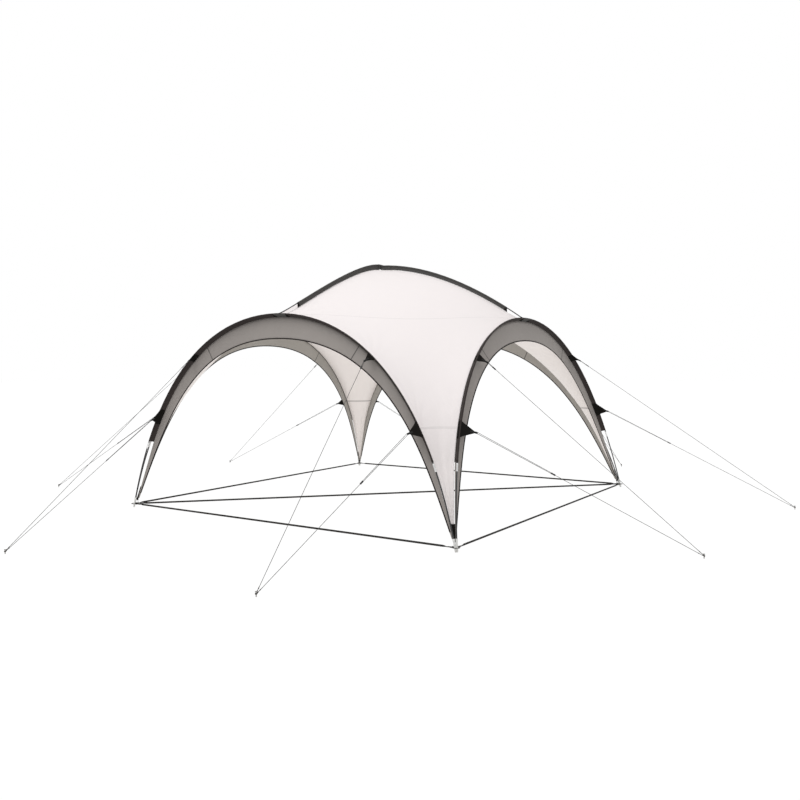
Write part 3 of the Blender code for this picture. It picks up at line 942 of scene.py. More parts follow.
def round_off(points, radius, steps=5):
    """A path with its corners rounded."""
    path = [points[0]]
    for before, corner_point, after in zip(points, points[1:], points[2:]):
        back = min(radius, (before - corner_point).length * 0.45)
        on = min(radius, (after - corner_point).length * 0.45)
        start = corner_point + (before - corner_point).normalized() * back
        end = corner_point + (after - corner_point).normalized() * on
        for step in range(steps + 1):
            share = step / steps
            path.append(
                (1 - share) ** 2 * start + 2 * share * (1 - share) * corner_point + share**2 * end
            )
    path.append(points[-1])
    return path


def add_object(name, data):
    """Puts a new object in the scene; a bmesh is turned to a mesh first."""
    if isinstance(data, bmesh.types.BMesh):
        mesh = bpy.data.meshes.new(name)
        data.to_mesh(mesh)
        data.free()
        data = mesh
    obj = bpy.data.objects.new(name, data)
    bpy.context.scene.collection.objects.link(obj)
    return obj


def add_piece(
    name, bm, finishes, nodes=(), sharp=0.7, wall=0.0, offset=-1.0, lining=False, outwards=None
):
    """Makes a finished piece, which rides on the shelter and stands for these CAD nodes."""
    bmesh.ops.recalc_face_normals(bm, faces=bm.faces)
    if outwards:
        facing = sum(face.normal.dot(outwards(face.calc_center_median())) for face in bm.faces)
        if facing < 0:
            bmesh.ops.reverse_faces(bm, faces=bm.faces)
    for face in bm.faces:
        face.smooth = True
    for edge in bm.edges:
        if edge.is_manifold and edge.calc_face_angle(0) > sharp:
            edge.smooth = False
    obj = add_object(name, bm)
    for label in finishes:
        obj.data.materials.append(finish(label))
    if wall:
        thicken = obj.modifiers.new("Cloth Thickness", "SOLIDIFY")
        thicken.thickness = wall
        thicken.offset = offset
        thicken.use_even_offset = True
        thicken.use_quality_normals = True
        thicken.material_offset = 1 if lining else 0
    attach(obj, "root")
    if nodes:
        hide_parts(*nodes)
    return obj


# Roof


PANEL_STEPS = (2, 11)
PANEL_LEVELS = 3
PANEL_SAG = 0.075
SEAM_ROLL = 0.0030
SEAM_SPACE = 0.0005
CROWN_FOLDS = 15
LEG_FOLDS = 30
PATCH_FOLDS = 17
FOLD_FAN = 1.1  # the angle, in radians, at which the folds of a fan have mostly faded
FOLD_EDGE = 0.06  # how far in from a panel's edge the folds have their full height


def roof_edges(side):
    """The four edges of the panel at this side's right-hand corner, as functions of a share."""
    clear = SEAM_ROLL + SEAM_SPACE + chosen("cloth").roof_thickness
    places = stations(PANEL_STEPS, 1, SLEEVE_END, 0)

    def arch(share, at_side, turn):
        return stand(on_seam(turn * read(places, share)) + clear * BACK, at_side)

    def ridge(share, at_side):
        starts = sleeve_shares(at_side)[0]
        spot = read(stations(PANEL_STEPS, 0, starts, 1), share)
        under = smooth(spot, 0, starts)
        sink = under * clear + ridge_of(at_side)["lift"] * spot**4
        return stand(ridge_seam(at_side, spot) + (1 - under) * clear * BACK - sink * UP, at_side)

    far = (side + 1) % 4
    return (
        lambda share: arch(share, side, 1),
        lambda share: arch(share, far, -1),
        lambda share: ridge(share, side),
        lambda share: ridge(share, far),
    )


def panel_surface(side):
    """A quarter of the roof as a function of two shares, drawn straight between its four edges."""
    near_arch, far_arch, near_ridge, far_ridge = roof_edges(side)
    foot, apex = near_arch(0), near_ridge(1)
    near_crown, far_crown = near_arch(1), far_arch(1)

    def place(u, v):
        between_arches = (1 - v) * near_arch(u) + v * far_ridge(u)
        between_ridges = (1 - u) * far_arch(v) + u * near_ridge(v)
        corners = (1 - v) * ((1 - u) * foot + u * near_crown) + v * ((1 - u) * far_crown + u * apex)
        return between_arches + between_ridges - corners

    return place


def settle(steps, place, rounds):
    """A grid's points after its inside has been relaxed between its edges."""
    bm = bmesh.new()
    bmesh.ops.create_grid(bm, x_segments=steps, y_segments=steps, size=0.5)
    spots = {vert: (round((vert.co.x + 0.5) * steps), round((vert.co.y + 0.5) * steps)) for vert in bm.verts}
    for vert, (i, j) in spots.items():
        vert.co = place(i, j)
    inner = [vert for vert in bm.verts if not vert.is_boundary]
    for _ in range(rounds):
        bmesh.ops.smooth_vert(
            bm, verts=inner, factor=0.5, use_axis_x=True, use_axis_y=True, use_axis_z=True
        )
    points = {spot: vert.co.copy() for vert, spot in spots.items()}
    bm.free()
    return points


def settled_panel(side):
    """The points of a panel: relaxed on a coarse grid, then on finer ones with the same edges."""
    surface = panel_surface(side)
    steps = sum(PANEL_STEPS)
    points = settle(steps, lambda i, j: surface(i / steps, j / steps), 60)
    for _ in range(PANEL_LEVELS):
        coarse = points
        steps *= 2

        def place(i, j):
            if i in (0, steps) or j in (0, steps):
                return surface(i / steps, j / steps)
            low_i, low_j = i // 2, j // 2
            high_i, high_j = (i + 1) // 2, (j + 1) // 2
            corners = ((low_i, low_j), (high_i, low_j), (low_i, high_j), (high_i, high_j))
            return sum((coarse[spot] for spot in corners), Vector()) / 4

        points = settle(steps, place, 10)
    for (i, j), point in points.items():
        point.z -= PANEL_SAG * sin(pi * i / steps) * sin(pi * j / steps)
    return steps, points


def pulls(side):
    """Each pull on this panel: where, towards what, how far, and the number and strength of its folds."""
    near_arch, far_arch, near_ridge, _ = roof_edges(side)
    foot, apex = near_arch(0), near_ridge(1)
    middle = (near_arch(1) + far_arch(1)) / 2
    found = [
        (foot, middle, 0.85, LEG_FOLDS, 1.3),
        (near_arch(1), (apex + foot) / 2, 0.50, CROWN_FOLDS, 1.0),
        (far_arch(1), (apex + foot) / 2, 0.50, CROWN_FOLDS, 1.0),
        (apex, middle, 0.45, CROWN_FOLDS, 0.5),
    ]
    for height in PATCH_HEIGHTS:
        for edge in (near_arch, far_arch):
            spot = edge(1 - place_at_height(height))
            found.append((spot, spot.lerp(middle, 0.7) - 0.15 * UP, 0.33, PATCH_FOLDS, 0.8))
    return found


def fold_height(point, normal, held):
    """How far the pull folds lift the cloth at a point."""
    total = 0.0
    for spot, heart, reach, folds, share in held:
        away = point - spot
        length = away.length
        if length > 2.4 * reach or length < 1e-6:
            continue
        ahead = (heart - spot).normalized()
        beside = normal.cross(ahead)
        angle = atan2(away.dot(beside), away.dot(ahead))
        fade = exp(-((length / reach) ** 2)) * exp(-((angle / FOLD_FAN) ** 2))
        fade *= smooth(length, 0.02, 0.14)
        total += share * fade * cos(folds * angle + 2.0 * sin(3 * angle + length * 4))
    return total


def add_panel(bm, side):
    steps, points = settled_panel(side)
    held = pulls(side)
    height = chosen("cloth").fold

    def place(u, v):
        i, j = round(u * steps), round(v * steps)
        if i in (0, steps) or j in (0, steps):
            return points[i, j]
        across = points[i + 1, j] - points[i - 1, j]
        down = points[i, j + 1] - points[i, j - 1]
        normal = across.cross(down).normalized()
        edge = min(u, v, 1 - u, 1 - v) * PANEL_LENGTH
        lift = fold_height(points[i, j], normal, held) * height * smooth(edge, 0, FOLD_EDGE)
        return points[i, j] + lift * normal

    verts = add_grid(bm, steps, steps, place, lambda u, v: (u * PANEL_LENGTH, v * PANEL_LENGTH))
    for edge in {edge for vert in verts for edge in vert.link_edges if edge.is_boundary}:
        edge.seam = True


def make_roof():
    bm = bmesh.new()
    for side in range(4):
        add_panel(bm, side)
    seams = [edge for edge in bm.edges if edge.seam]
    rim = {vert for edge in seams for vert in edge.verts}
    bmesh.ops.remove_doubles(bm, verts=list(rim), dist=WELD * 10)
    cloth = chosen("cloth")
    for edge in bm.edges:
        edge.seam = edge.seam and not edge.is_boundary
    nodes = [f"roof_panel_{corner_name}" for corner_name in CORNERS]
    roof = add_piece(
        "roof", bm, ("Roof Cloth", "Roof Lining"), nodes,
        wall=cloth.roof_thickness, lining=True, outwards=lambda place: UP,
    )
    for edge in roof.data.edges:
        edge.use_edge_sharp = edge.use_seam
    return roof


# Sleeves


SLEEVE_NOSE = 0.0071
RIDGE_NOSE = 0.0068
NOSE_OPENING = 0.5  # half the angle that is left open between a sleeve's nose and its band
NOSE_STEPS = 14
BAND_HALF = 0.0014
SLEEVE_WALL = 0.0006
MOUTH_HEM = 0.014
HEM_FOLD = 0.0006  # how much thicker a sleeve is at its hem
RIPPLE = 0.0006  # height of the band's ripples
SWELL = 0.00025  # change of the nose's radius
SLEEVE_MOUTH = SLEEVE_END - 0.011
ARCH_RUN = 2.35  # about how far an arch runs for each unit of place
RIDGE_RUN = 1.6  # about how long a ridge sleeve is


def keyhole(centre, seam, run, nose, hem, ripple):
    """One section of a pole sleeve, and how far each of its points lies from the crest, along the cloth."""
    across, flat, depth = sleeve_axes(centre, seam, run)
    radius, half = nose + hem, BAND_HALF + hem
    outline = flat_arc(0, 0, radius, NOSE_OPENING, 2 * pi - NOSE_OPENING, NOSE_STEPS)
    band = (radius + 0.006, depth * 0.42, depth * 0.7, depth - SEAM_ROLL * 1.4)
    band = list(zip(band, (0, ripple, ripple, 0)))
    outline += [(place, rise - half) for place, rise in band]
    outline += flat_arc(depth, 0, SEAM_ROLL, radians(-120), radians(120), 4)
    outline += [(place, rise + half) for place, rise in reversed(band)]
    crest = NOSE_STEPS // 2
    turned = outline[crest:] + outline[:crest]
    points = [centre + a * across + f * flat for a, f in turned]
    lengths = distances([Vector((a, f, 0)) for a, f in [*turned, turned[0]]])
    return points, [min(length, lengths[-1] - length) for length in lengths]


def add_pole_sleeve(bm, centres, seams, nose, phase):
    """Adds the skin of a sleeve, with a turned hem at each mouth and slight ripples along it."""
    far = distances(centres)
    sections = []
    around = None
    for index, (centre, seam, run) in enumerate(zip(centres, seams, runs(centres))):
        from_end = min(far[index], far[-1] - far[index])
        hem = HEM_FOLD * (1 - smooth(from_end, MOUTH_HEM, MOUTH_HEM + 0.002))
        way = far[index] * 17 + phase
        inside = smooth(from_end, 0.02, 0.06)
        ripple = RIPPLE * (sin(way) + 0.6 * sin(2.7 * way + 1)) * inside
        swell = SWELL * sin(3.9 * way) * inside
        points, around = keyhole(centre, seam, run, nose + swell, hem, ripple)
        sections.append(points)
    add_skin(bm, sections, around, closed_ends=False)


def sleeve_places(count, first, last, length):
    """Stations along a sleeve, with extra ones for the hem at each end."""
    hem = MOUTH_HEM / length * (last - first)
    step = hem / 7
    return stations(
        (1, 1, count, 1, 1),
        first, first + hem, first + hem + step, last - hem - step, last - hem, last,
    )


def make_arch_sleeves():
    made = []
    places = sleeve_places(150, -SLEEVE_MOUTH, SLEEVE_MOUTH, 2 * SLEEVE_MOUTH * ARCH_RUN)
    for side, name in enumerate(SIDES):
        centres = [arch_spot(side, place) for place in places]
        seams = [seam_spot(side, place) for place in places]
        bm = bmesh.new()
        add_pole_sleeve(bm, centres, seams, SLEEVE_NOSE, side * 1.7)
        sleeve = add_piece(
            f"arch_sleeve_{name}_cloth", bm, ("Arch Sleeve Cloth",),
            [f"arch_sleeve_{name}"], wall=SLEEVE_WALL,
        )
        made.append((sleeve, distances(centres)[-1]))
    return made


def make_ridge_sleeves():
    made = []
    for side, name in enumerate(SIDES):
        places = sleeve_places(80, *sleeve_shares(side), RIDGE_RUN)
        centres = [ridge_spot(side, share) for share in places]
        seams = [stand(ridge_seam(side, share), side) for share in places]
        bm = bmesh.new()
        add_pole_sleeve(bm, centres, seams, RIDGE_NOSE, side * 2.3 + 0.4)
        mouth = (centres[0] + seams[0]) / 2
        for face in bm.faces:
            face.material_index = int((face.calc_center_median() - mouth).length < MOUTH_HEM * 1.6)
        sleeve = add_piece(
            f"ridge_sleeve_{name}_cloth", bm, ("Ridge Sleeve Cloth", "Patch Cloth"),
            [f"ridge_sleeve_{name}"], wall=SLEEVE_WALL,
        )
        made.append((sleeve, distances(centres)[-1]))
    return made


APEX_COVER_FRONT = 0.030
APEX_COVER_BACK = 0.150
COVER_SPACE = 0.0016  # from a ridge sleeve's nose to the cover
COVER_HANG = 0.004  # how far the cover hangs below the sleeve's seam


def make_apex_cover():
    """The cap of sleeve cloth over the crossing of the ridge poles, on top of the four sleeves' ends."""
    places = []
    for side, reach in ((0, APEX_COVER_FRONT), (2, APEX_COVER_BACK)):
        curve = ridge_curve(side)
        start = share_where(lambda share: curve[3].y - along(curve, share).y < reach)
        found = [
            (ridge_spot(side, share), stand(ridge_seam(side, share), side))
            for share in stations((10,), start, 1)
        ]
        places += found if side == 0 else found[-2::-1]
    radius = RIDGE_NOSE + COVER_SPACE
    sections = []
    for (centre, seam), run in zip(places, runs([centre for centre, seam in places])):
        across, flat, depth = sleeve_axes(centre, seam, run)
        drop = depth + COVER_HANG
        flap = ((drop, BAND_HALF + 0.0012), (0.45 * drop, BAND_HALF + 0.0022))
        turns = [pi * (0.9 - 0.08 * step) for step in range(11)]
        row = [(down, -out) for down, out in flap]
        row += [(-radius * sin(turn), radius * cos(turn)) for turn in turns]
        row += reversed(flap)
        sections.append([centre + down * across + out * flat for down, out in row])
    rows, columns = len(sections) - 1, len(sections[0]) - 1
    bm = bmesh.new()
    add_grid(
        bm, columns, rows,
        lambda across, down: sections[round(down * rows)][round(across * columns)],
        lambda across, down: (across * 0.09, down * 0.115),
    )
    return add_piece(
        "apex_cover", bm, ("Ridge Sleeve Cloth",), wall=SLEEVE_WALL, offset=0.0
    )


# Valances


VALANCE_ROWS = 8
VALANCE_STEPS = (10, 70, 70, 10)
VALANCE_TOP_GAP = 0.0028
VALANCE_BELLY = 0.05  # of its drop
VALANCE_WAVES = 0.0016  # height of the waves along its hem
BOUND_UNTIL = 0.985  # the place on the arch where the tape on the hem ends
# How far in from the arch's plane the hem hangs on each side, towards its left and its right end
HEM_HANGS = ((0.045, 0.012), (0.0, 0.045), (0.030, 0.030), (0.030, 0.030))


def hem_place(place):
    """Where the thread that leaves the seam at this place meets the hem."""
    pull = (1 - VALANCE_HEM_SEAM / VALANCE_SEAM) / (1 - VALANCE_SEAM)
    return place * (1 - pull * (1 - abs(place)))


def valance_point(side, place, down):
    """A point of the valance, which bellies out a little between its seam and its hem."""
    top = on_seam(place) + VALANCE_TOP_GAP * inward(place)
    hem = on_arch(hem_place(place), HEM)
    hang = HEM_HANGS[side][place > 0] * sin(pi * abs(place) ** 1.6)
    point = top.lerp(hem, down) + hang * down * BACK
    drop = (hem - top).length
    belly = VALANCE_BELLY * drop * sin(pi * down * 0.8)
    waves = VALANCE_WAVES * down * sin(pi * down) * (
        cos(place * 21 + side) + 0.7 * cos(place * 37 + 2 * side) * exp(-((place / 0.35) ** 2))
    )
    return stand(point + (belly * 0.3 + waves) * BACK, side)


def make_valances():
    made = []
    places = stations(VALANCE_STEPS, -1, -SLEEVE_END, 0, SLEEVE_END, 1)
    cloth = chosen("cloth")
    for side, name in enumerate(SIDES):

        def place(share, down):
            return valance_point(side, pick(places, share), down)

        def chart(share, down):
            drop = (place(share, 1) - place(share, 0)).length
            return pick(places, share) * VALANCE_SPREAD, down * drop

        bm = bmesh.new()
        add_grid(bm, len(places) - 1, VALANCE_ROWS, place, chart)
        # Its inside face gets the lighter material: painted light, for the light through the thin cloth.
        valance = add_piece(
            f"valance_{name}_cloth", bm, ("Valance Cloth", "Valance Lining"),
            [f"valance_{name}"], wall=cloth.valance_thickness, offset=0.0, lining=True,
            outwards=lambda place: Vector((place.x, place.y, 0)),
        )
        made.append((valance, make_binding(side, name, places, cloth.binding, cloth.valance_thickness)))
    return made


def make_binding(side, name, places, tape, cloth):
    """The folded tape that binds a valance's hem."""
    inner, outer = cloth / 2 + 0.0002, cloth / 2 + 0.0009
    outline = (
        (-0.001, outer), (tape - 0.002, outer), (tape - 0.001, inner), (0.0006, inner),
        (0.0006, -inner), (tape - 0.001, -inner), (tape - 0.002, -outer), (-0.001, -outer),
    )
    kept = [place for place in places if abs(place) < BOUND_UNTIL]
    points = [valance_point(side, place, 1) for place in kept]
    into = [valance_point(side, place, 0.9) - valance_point(side, place, 1) for place in kept]
    bm = bmesh.new()
    add_sweep(bm, points, into, outline)
    return add_piece(f"hem_binding_{name}", bm, ("Hem Tape",), sharp=0.9)


# Poles


POLE_SIDES = 14
FERRULE_START = SLEEVE_MOUTH + 0.004
FERRULE_LIP = 1.06  # how much wider a ferrule is at its mouths
FERRULE_WALL = 0.0011


def make_arch_poles():
    poles = chosen("poles")
    end = place_at_height(CAP_HEIGHT + 0.0003)
    for side, name in enumerate(SIDES):
        places = stations((14, 130, 14), -end, -SLEEVE_END, SLEEVE_END, end)
        bm = bmesh.new()
        add_rod(bm, [arch_spot(side, place) for place in places], POLE_RADIUS, POLE_SIDES, BACK)
        add_piece(f"arch_pole_{name}_rod", bm, ("Glass Fibre",), [f"arch_pole_{name}"])
        bm = bmesh.new()
        for turn in (-1, 1):
            add_ferrule(bm, side, turn, poles)
        add_piece(f"ferrules_{name}", bm, ("Ferrule Steel",), wall=FERRULE_WALL)


def add_ferrule(bm, side, turn, poles):
    """Adds the steel tube that joins two sections of an arch pole, just below the sleeve's mouth."""
    reach = poles.ferrule_length / run_at(FERRULE_START).length
    places = stations((8,), FERRULE_START, FERRULE_START + reach)
    centres = [arch_spot(side, turn * place) for place in places]

    def radius(share):
        return poles.ferrule_radius * (FERRULE_LIP if share in (0, 1) else 1)

    add_rod(bm, centres, radius, 18, BACK, closed_ends=False)


def make_ridge_poles():
    shares = stations((60,), 0, 1)
    for name, ridge in RIDGES.items():
        there, back = ([ridge_spot(side, share) for share in shares] for side in ridge["sides"])
        bm = bmesh.new()
        add_rod(bm, there + back[-2::-1], RIDGE_RADIUS, POLE_SIDES)
        add_piece(f"ridge_pole_{name}_rod", bm, ("Glass Fibre",), [f"ridge_pole_{name}"])


# Crown patches, where a ridge pole stands on an arch


HUB_TOP = 0.066
HUB_BOTTOM = 0.092
HUB_SHIFT = 0.042
HUB_SPACE = 0.0012
HUB_DEPTH = 0.049
HUB_SPREAD = 0.07  # half its width on its UV map
HUB_CORNERS = 0.75  # how fast its black corners widen downwards
KEEPER_PLACE = 0.010  # behind the ridge pole's end
KEEPER_SIDE = 0.017  # from the middle of the pole to where the keeper is sewn down
KEEPER_DROP = 0.0135
KEEPER_WIDTH = 0.014
KEEPER_THICKNESS = 0.0012


def sleeve_face(side, place, away, lift):
    """A point over the sleeve's front face: away is the way from the crest to the seam, along the cloth."""
    centre = arch_spot(side, place)
    across, flat, _ = sleeve_axes(centre, seam_spot(side, place), arch_step(side, place))
    radius = SLEEVE_NOSE + lift
    beyond = away - radius * pi / 2
    if beyond < 0:
        angle = pi - away / radius
        return centre + radius * (cos(angle) * across - sin(angle) * flat)
    sink = smooth(beyond, 0, 0.016)
    height = radius + sink * (BAND_HALF + lift + 0.0006 - radius)
    return centre + beyond * across - height * flat


def make_crown_hubs():
    """The patch on each crown, grey in the middle with black corners, and the keeper beside it."""
    made = []
    unit = run_at(0).length
    for side, name in enumerate(SIDES):

        def place(share, down):
            half = HUB_TOP + (HUB_BOTTOM - HUB_TOP) * down
            spot = (HUB_SHIFT + (share * 2 - 1) * half) / unit
            return sleeve_face(side, spot, 0.002 + down * HUB_DEPTH, HUB_SPACE)

        bm = bmesh.new()
        add_grid(
            bm, 28, 12, place, lambda share, down: ((share * 2 - 1) * HUB_SPREAD, down * HUB_DEPTH)
        )
        charted = bm.loops.layers.uv.verify()
        for face in bm.faces:
            middle = sum((loop[charted].uv for loop in face.loops), Vector((0, 0))) / len(face.loops)
            face.material_index = int(abs(middle.x) > HUB_SPREAD - middle.y * HUB_CORNERS)
        hub = add_piece(
            f"crown_patch_{name}", bm, ("Ridge Sleeve Cloth", "Patch Cloth"),
            wall=0.0010, offset=1.0, outwards=lambda spot: spot - Vector((0, 0, 1.2)),
        )
        bm = bmesh.new()
        add_keeper(bm, side)
        keeper = add_piece(f"ridge_keeper_{name}", bm, ("Strap Webbing",))
        made.append((hub, keeper))
    return made


def add_keeper(bm, side):
    """Adds the loop of webbing that holds the end of a ridge pole down on the arch."""
    curve = ridge_curve(side)
    share = share_where(lambda held: along(curve, held).y - curve[0].y > KEEPER_PLACE)
    middle = ridge_spot(side, share)
    ahead = (ridge_spot(side, share + 0.01) - middle).normalized()
    aside = ahead.cross(UP).normalized()
    lift = aside.cross(ahead)
    radius = RIDGE_RADIUS + KEEPER_THICKNESS
    low = middle - KEEPER_DROP * lift
    over = arc(middle, radius * aside, radius * lift, pi / 2 - 1.75, pi / 2 + 1.75, 16)
    path = [low + KEEPER_SIDE * aside, *over, low - KEEPER_SIDE * aside]
    add_sweep(bm, path, [ahead] * len(path), rounded_slab(KEEPER_WIDTH, KEEPER_THICKNESS, 0.0005))


# Feet


RING_RADIUS = 0.026
RING_WIDTH = 0.010
RING_HEIGHT = 0.004
CAP_START = 0.0004
TAB_TOP = 0.193
TAB_BOTTOM = 0.067
FOLDED = 0.0012  # thickness of the folded webbing on a foot
LAP_SPACE = 0.0002  # between the layers round a ring
TAB_SPACE = 0.0030  # from the leg's cloth to the middle of its tab
TIP_LOW = TIP_HEIGHT + 0.002  # the lowest height at which seam and hem are still apart
TAIL_WIDTH = 0.011
CAP_RADIUS = 0.0079


def pole_at_height(side, turn, height):
    return arch_spot(side, turn * place_at_height(height))


def ring_middle(side):
    """The middle of the ring round the two caps of the foot at this side's right-hand end."""
    near = pole_at_height(side, 1, STRAP_HEIGHT)
    far = pole_at_height((side + 1) % 4, -1, STRAP_HEIGHT)
    return (near + far) / 2


def cap_profile(length):
    """Half the outline of an end cap, with a rounded nose and a collar at its mouth."""
    angles = [step * pi / 12 for step in range(7)]
    nose = [(CAP_RADIUS * sin(angle), CAP_RADIUS * (1 - cos(angle))) for angle in angles]
    return [
        *nose, (0.0081, 0.020), (0.0083, length - 0.016), (0.0092, length - 0.014),
        (0.0093, length - 0.012), (0.0093, length - 0.003), (0.0089, length - 0.0008),
        (0.0080, length), (0, length),
    ]


def make_feet():
    for side, name in enumerate(CORNERS):
        bm = bmesh.new()
        for at_side, turn in ((side, 1), ((side + 1) % 4, -1)):
            bottom = arch_spot(at_side, turn)
            axis = pole_at_height(at_side, turn, CAP_HEIGHT) - bottom
            start = bottom + CAP_START * axis.normalized()
            add_turned(bm, cap_profile(axis.length - CAP_START), 28, along_axis(start, axis))
        add_piece(f"foot_caps_{name}", bm, ("Cap Plastic",), [f"foot_{name}"])
        bm = bmesh.new()
        slab = rounded_slab(RING_WIDTH, RING_HEIGHT, 0.0015, 3)
        profile = [(RING_RADIUS + out, up) for out, up in slab]
        add_turned(bm, profile, 48, Matrix.Translation(ring_middle(side)), ring=True)
        add_piece(f"foot_ring_{name}", bm, ("Black Plastic",))


def seam_at_height(side, turn, height):
    """The seam of a leg at this height, and the hem beside it."""
    place = share_where(lambda held: on_seam(held).z <= height)
    low = share_where(lambda held: on_arch(held, HEM).z <= height)
    return seam_spot(side, turn * place), stand(on_arch(turn * low, HEM), side)


def make_foot_tabs():
    """The black tab round the end of each leg of the roof, and the tail of webbing below it."""
    made = []
    for side, name in enumerate(CORNERS):
        outward = corner(side).normalized()

        def place(share, down):
            height = TAB_TOP + (TAB_BOTTOM - TAB_TOP) * down
            held = max(height, TIP_LOW)
            near, near_hem = seam_at_height(side, 1, held)
            far, far_hem = seam_at_height((side + 1) % 4, -1, held)
            spread = 0.005 + 0.009 * down
            left_end = near + (near_hem - near).normalized() * spread
            right_end = far + (far_hem - far).normalized() * spread
            path = [left_end, near, (near + far) / 2 + 0.002 * outward, far, right_end]
            point = read(path, share) if share < 1 else right_end
            return Vector((point.x, point.y, height)) + TAB_SPACE * outward

        bm = bmesh.new()
        add_grid(bm, 16, 14, place, lambda share, down: (share * 0.04, down * 0.13))
        tab = add_piece(
            f"foot_tab_{name}", bm, ("Patch Cloth",), wall=0.0014, offset=0.0
        )
        bm = bmesh.new()
        add_tail(bm, side)
        tail = add_piece(f"foot_tail_{name}", bm, ("Strap Webbing",))
        made.append((tab, tail))
    return made


def beside(start, ahead, spots):
    """World places for spots given as distances from a start, outwards and upwards."""
    return [start + out * ahead + up * UP for out, up in spots]


def add_tail(bm, side):
    """Adds the webbing that ties a leg of the roof to the ring on its foot."""
    middle = ring_middle(side)
    tip, _ = seam_at_height(side, 1, TIP_LOW)
    ahead = (tip - middle) * Vector((1, 1, 0))
    reach = ahead.length
    ahead.normalize()
    rim = RING_RADIUS + RING_WIDTH / 2 + FOLDED / 2 + LAP_SPACE
    hole = RING_RADIUS - RING_WIDTH / 2 - FOLDED / 2 - LAP_SPACE
    over = RING_HEIGHT / 2 + FOLDED / 2 + LAP_SPACE
    spots = (
        (reach, 0.060), (reach, 0.040), (rim, 0.012), (rim, -over), (hole, -over), (hole, over),
        (rim + 0.0004, over + 0.0010), (rim + 0.0018, 0.012), (reach + 0.0016, 0.032),
    )
    path = round_off(beside(middle, ahead, spots), 0.0016)
    add_sweep(bm, path, [ahead.cross(UP)] * len(path), rounded_slab(TAIL_WIDTH, FOLDED, 0.0004))


# Ground straps


STRAP_BEND = 0.0022  # radius of its bends round a ring
FLAT_UNTIL = 0.062
UPRIGHT_FROM = 0.12


def strap_end(thick):
    """The end of a strap as distances out from its ring and up: round the ring and back on itself."""
    lap = thick / 2 + 0.0001
    hole = RING_RADIUS - RING_WIDTH / 2 - FOLDED - 2 * LAP_SPACE - thick / 2
    over = RING_HEIGHT / 2 + FOLDED + 2 * LAP_SPACE + thick / 2
    rim = RING_RADIUS + RING_WIDTH / 2
    return (
        (0.086, -2 * lap), (0.050, -2 * lap), (rim + 0.003, -over), (hole + 0.0012, -over),
        (hole, -over + 0.0014), (hole, over - 0.0014), (hole + 0.0012, over), (rim + 0.003, over),
        (0.052, 0.0), (FLAT_UNTIL, 0.0),
    )


def add_strap(bm, first, last):
    """Adds a strap between two feet: flat where it is sewn round the rings, on its edge between them."""
    lines = chosen("lines")
    start, end = ring_middle(first), ring_middle(last)
    length = (end - start).length
    ahead = (end - start).normalized()
    aside = ahead.cross(UP).normalized()
    ends = strap_end(lines.strap_thickness)
    near = round_off(beside(start, ahead, ends), STRAP_BEND)
    far = round_off(beside(end, -ahead, ends), STRAP_BEND)
    inner = stations((14, 24, 14), FLAT_UNTIL, UPRIGHT_FROM, length - UPRIGHT_FROM, length - FLAT_UNTIL)
    path = [*near, *(start + out * ahead for out in inner[1:-1]), *reversed(far)]
    asides = []
    for index, point in enumerate(path):
        turn = 0.0
        if len(near) <= index < len(path) - len(far):
            out = min((point - start).length, (point - end).length)
            turn = smooth(out, FLAT_UNTIL, UPRIGHT_FROM) * pi / 2
        asides.append(cos(turn) * aside + sin(turn) * UP)
    add_sweep(bm, path, asides, rounded_slab(lines.strap_width, lines.strap_thickness, 0.0008))


def make_straps():
    ends = {name: ((side - 1) % 4, side) for side, name in enumerate(SIDES)}
    ends["diagonal"] = (3, 1)
    for name, (first, last) in ends.items():
        bm = bmesh.new()
        add_strap(bm, first, last)
        add_piece(f"strap_{name}", bm, ("Strap Webbing",), [f"ground_strap_{name}"])


# Guy lines


PATCH_ROWS = 14
PATCH_COLUMNS = 14
PATCH_SPACE = 0.0009
PATCH_SQUARE = 0.68  # how far a patch turns from the guy line's own way to square to the arch
PATCH_STOPS = (0.0, 0.14, 0.25, 0.33, 0.40, 0.46, 0.56, 0.77, 1.0)  # shares of the way from seam to tip
LOOP_LENGTH = 0.026
LOOP_WIDTH = 0.014
TIE_LENGTH = 0.036  # from a peg to the knot of its loop
UPPER_DOUBLE_SHARE = 0.035  # share of an upper guy line that runs double
CORD_SPREADS = (0.0052, 0.0036)  # from the middle to each half of a doubled lower and upper cord
SPREAD_UNTIL = 0.030  # from the eye, where the halves start to close in on the runner
AT_RUNNER = 0.0030  # from the middle to each half at the runner
RUNNER_WIDTH = 0.0135
RUNNER_THICKNESS = 0.0058
PEG_HEIGHT = 0.034  # above the ground
CORD_SIDES = 8


def guy_frame(side, end, height, peg):
    """A patch's place on the arch: its share along the arch, the run there, and the way to the peg."""
    place = end * place_at_height(height)
    centre = arch_spot(side, place)
    run = arch_step(side, place).normalized()
    pull = (peg - centre).normalized()
    pull = (pull - PATCH_SQUARE * pull.dot(run) * run).normalized()
    return place, centre, run, pull


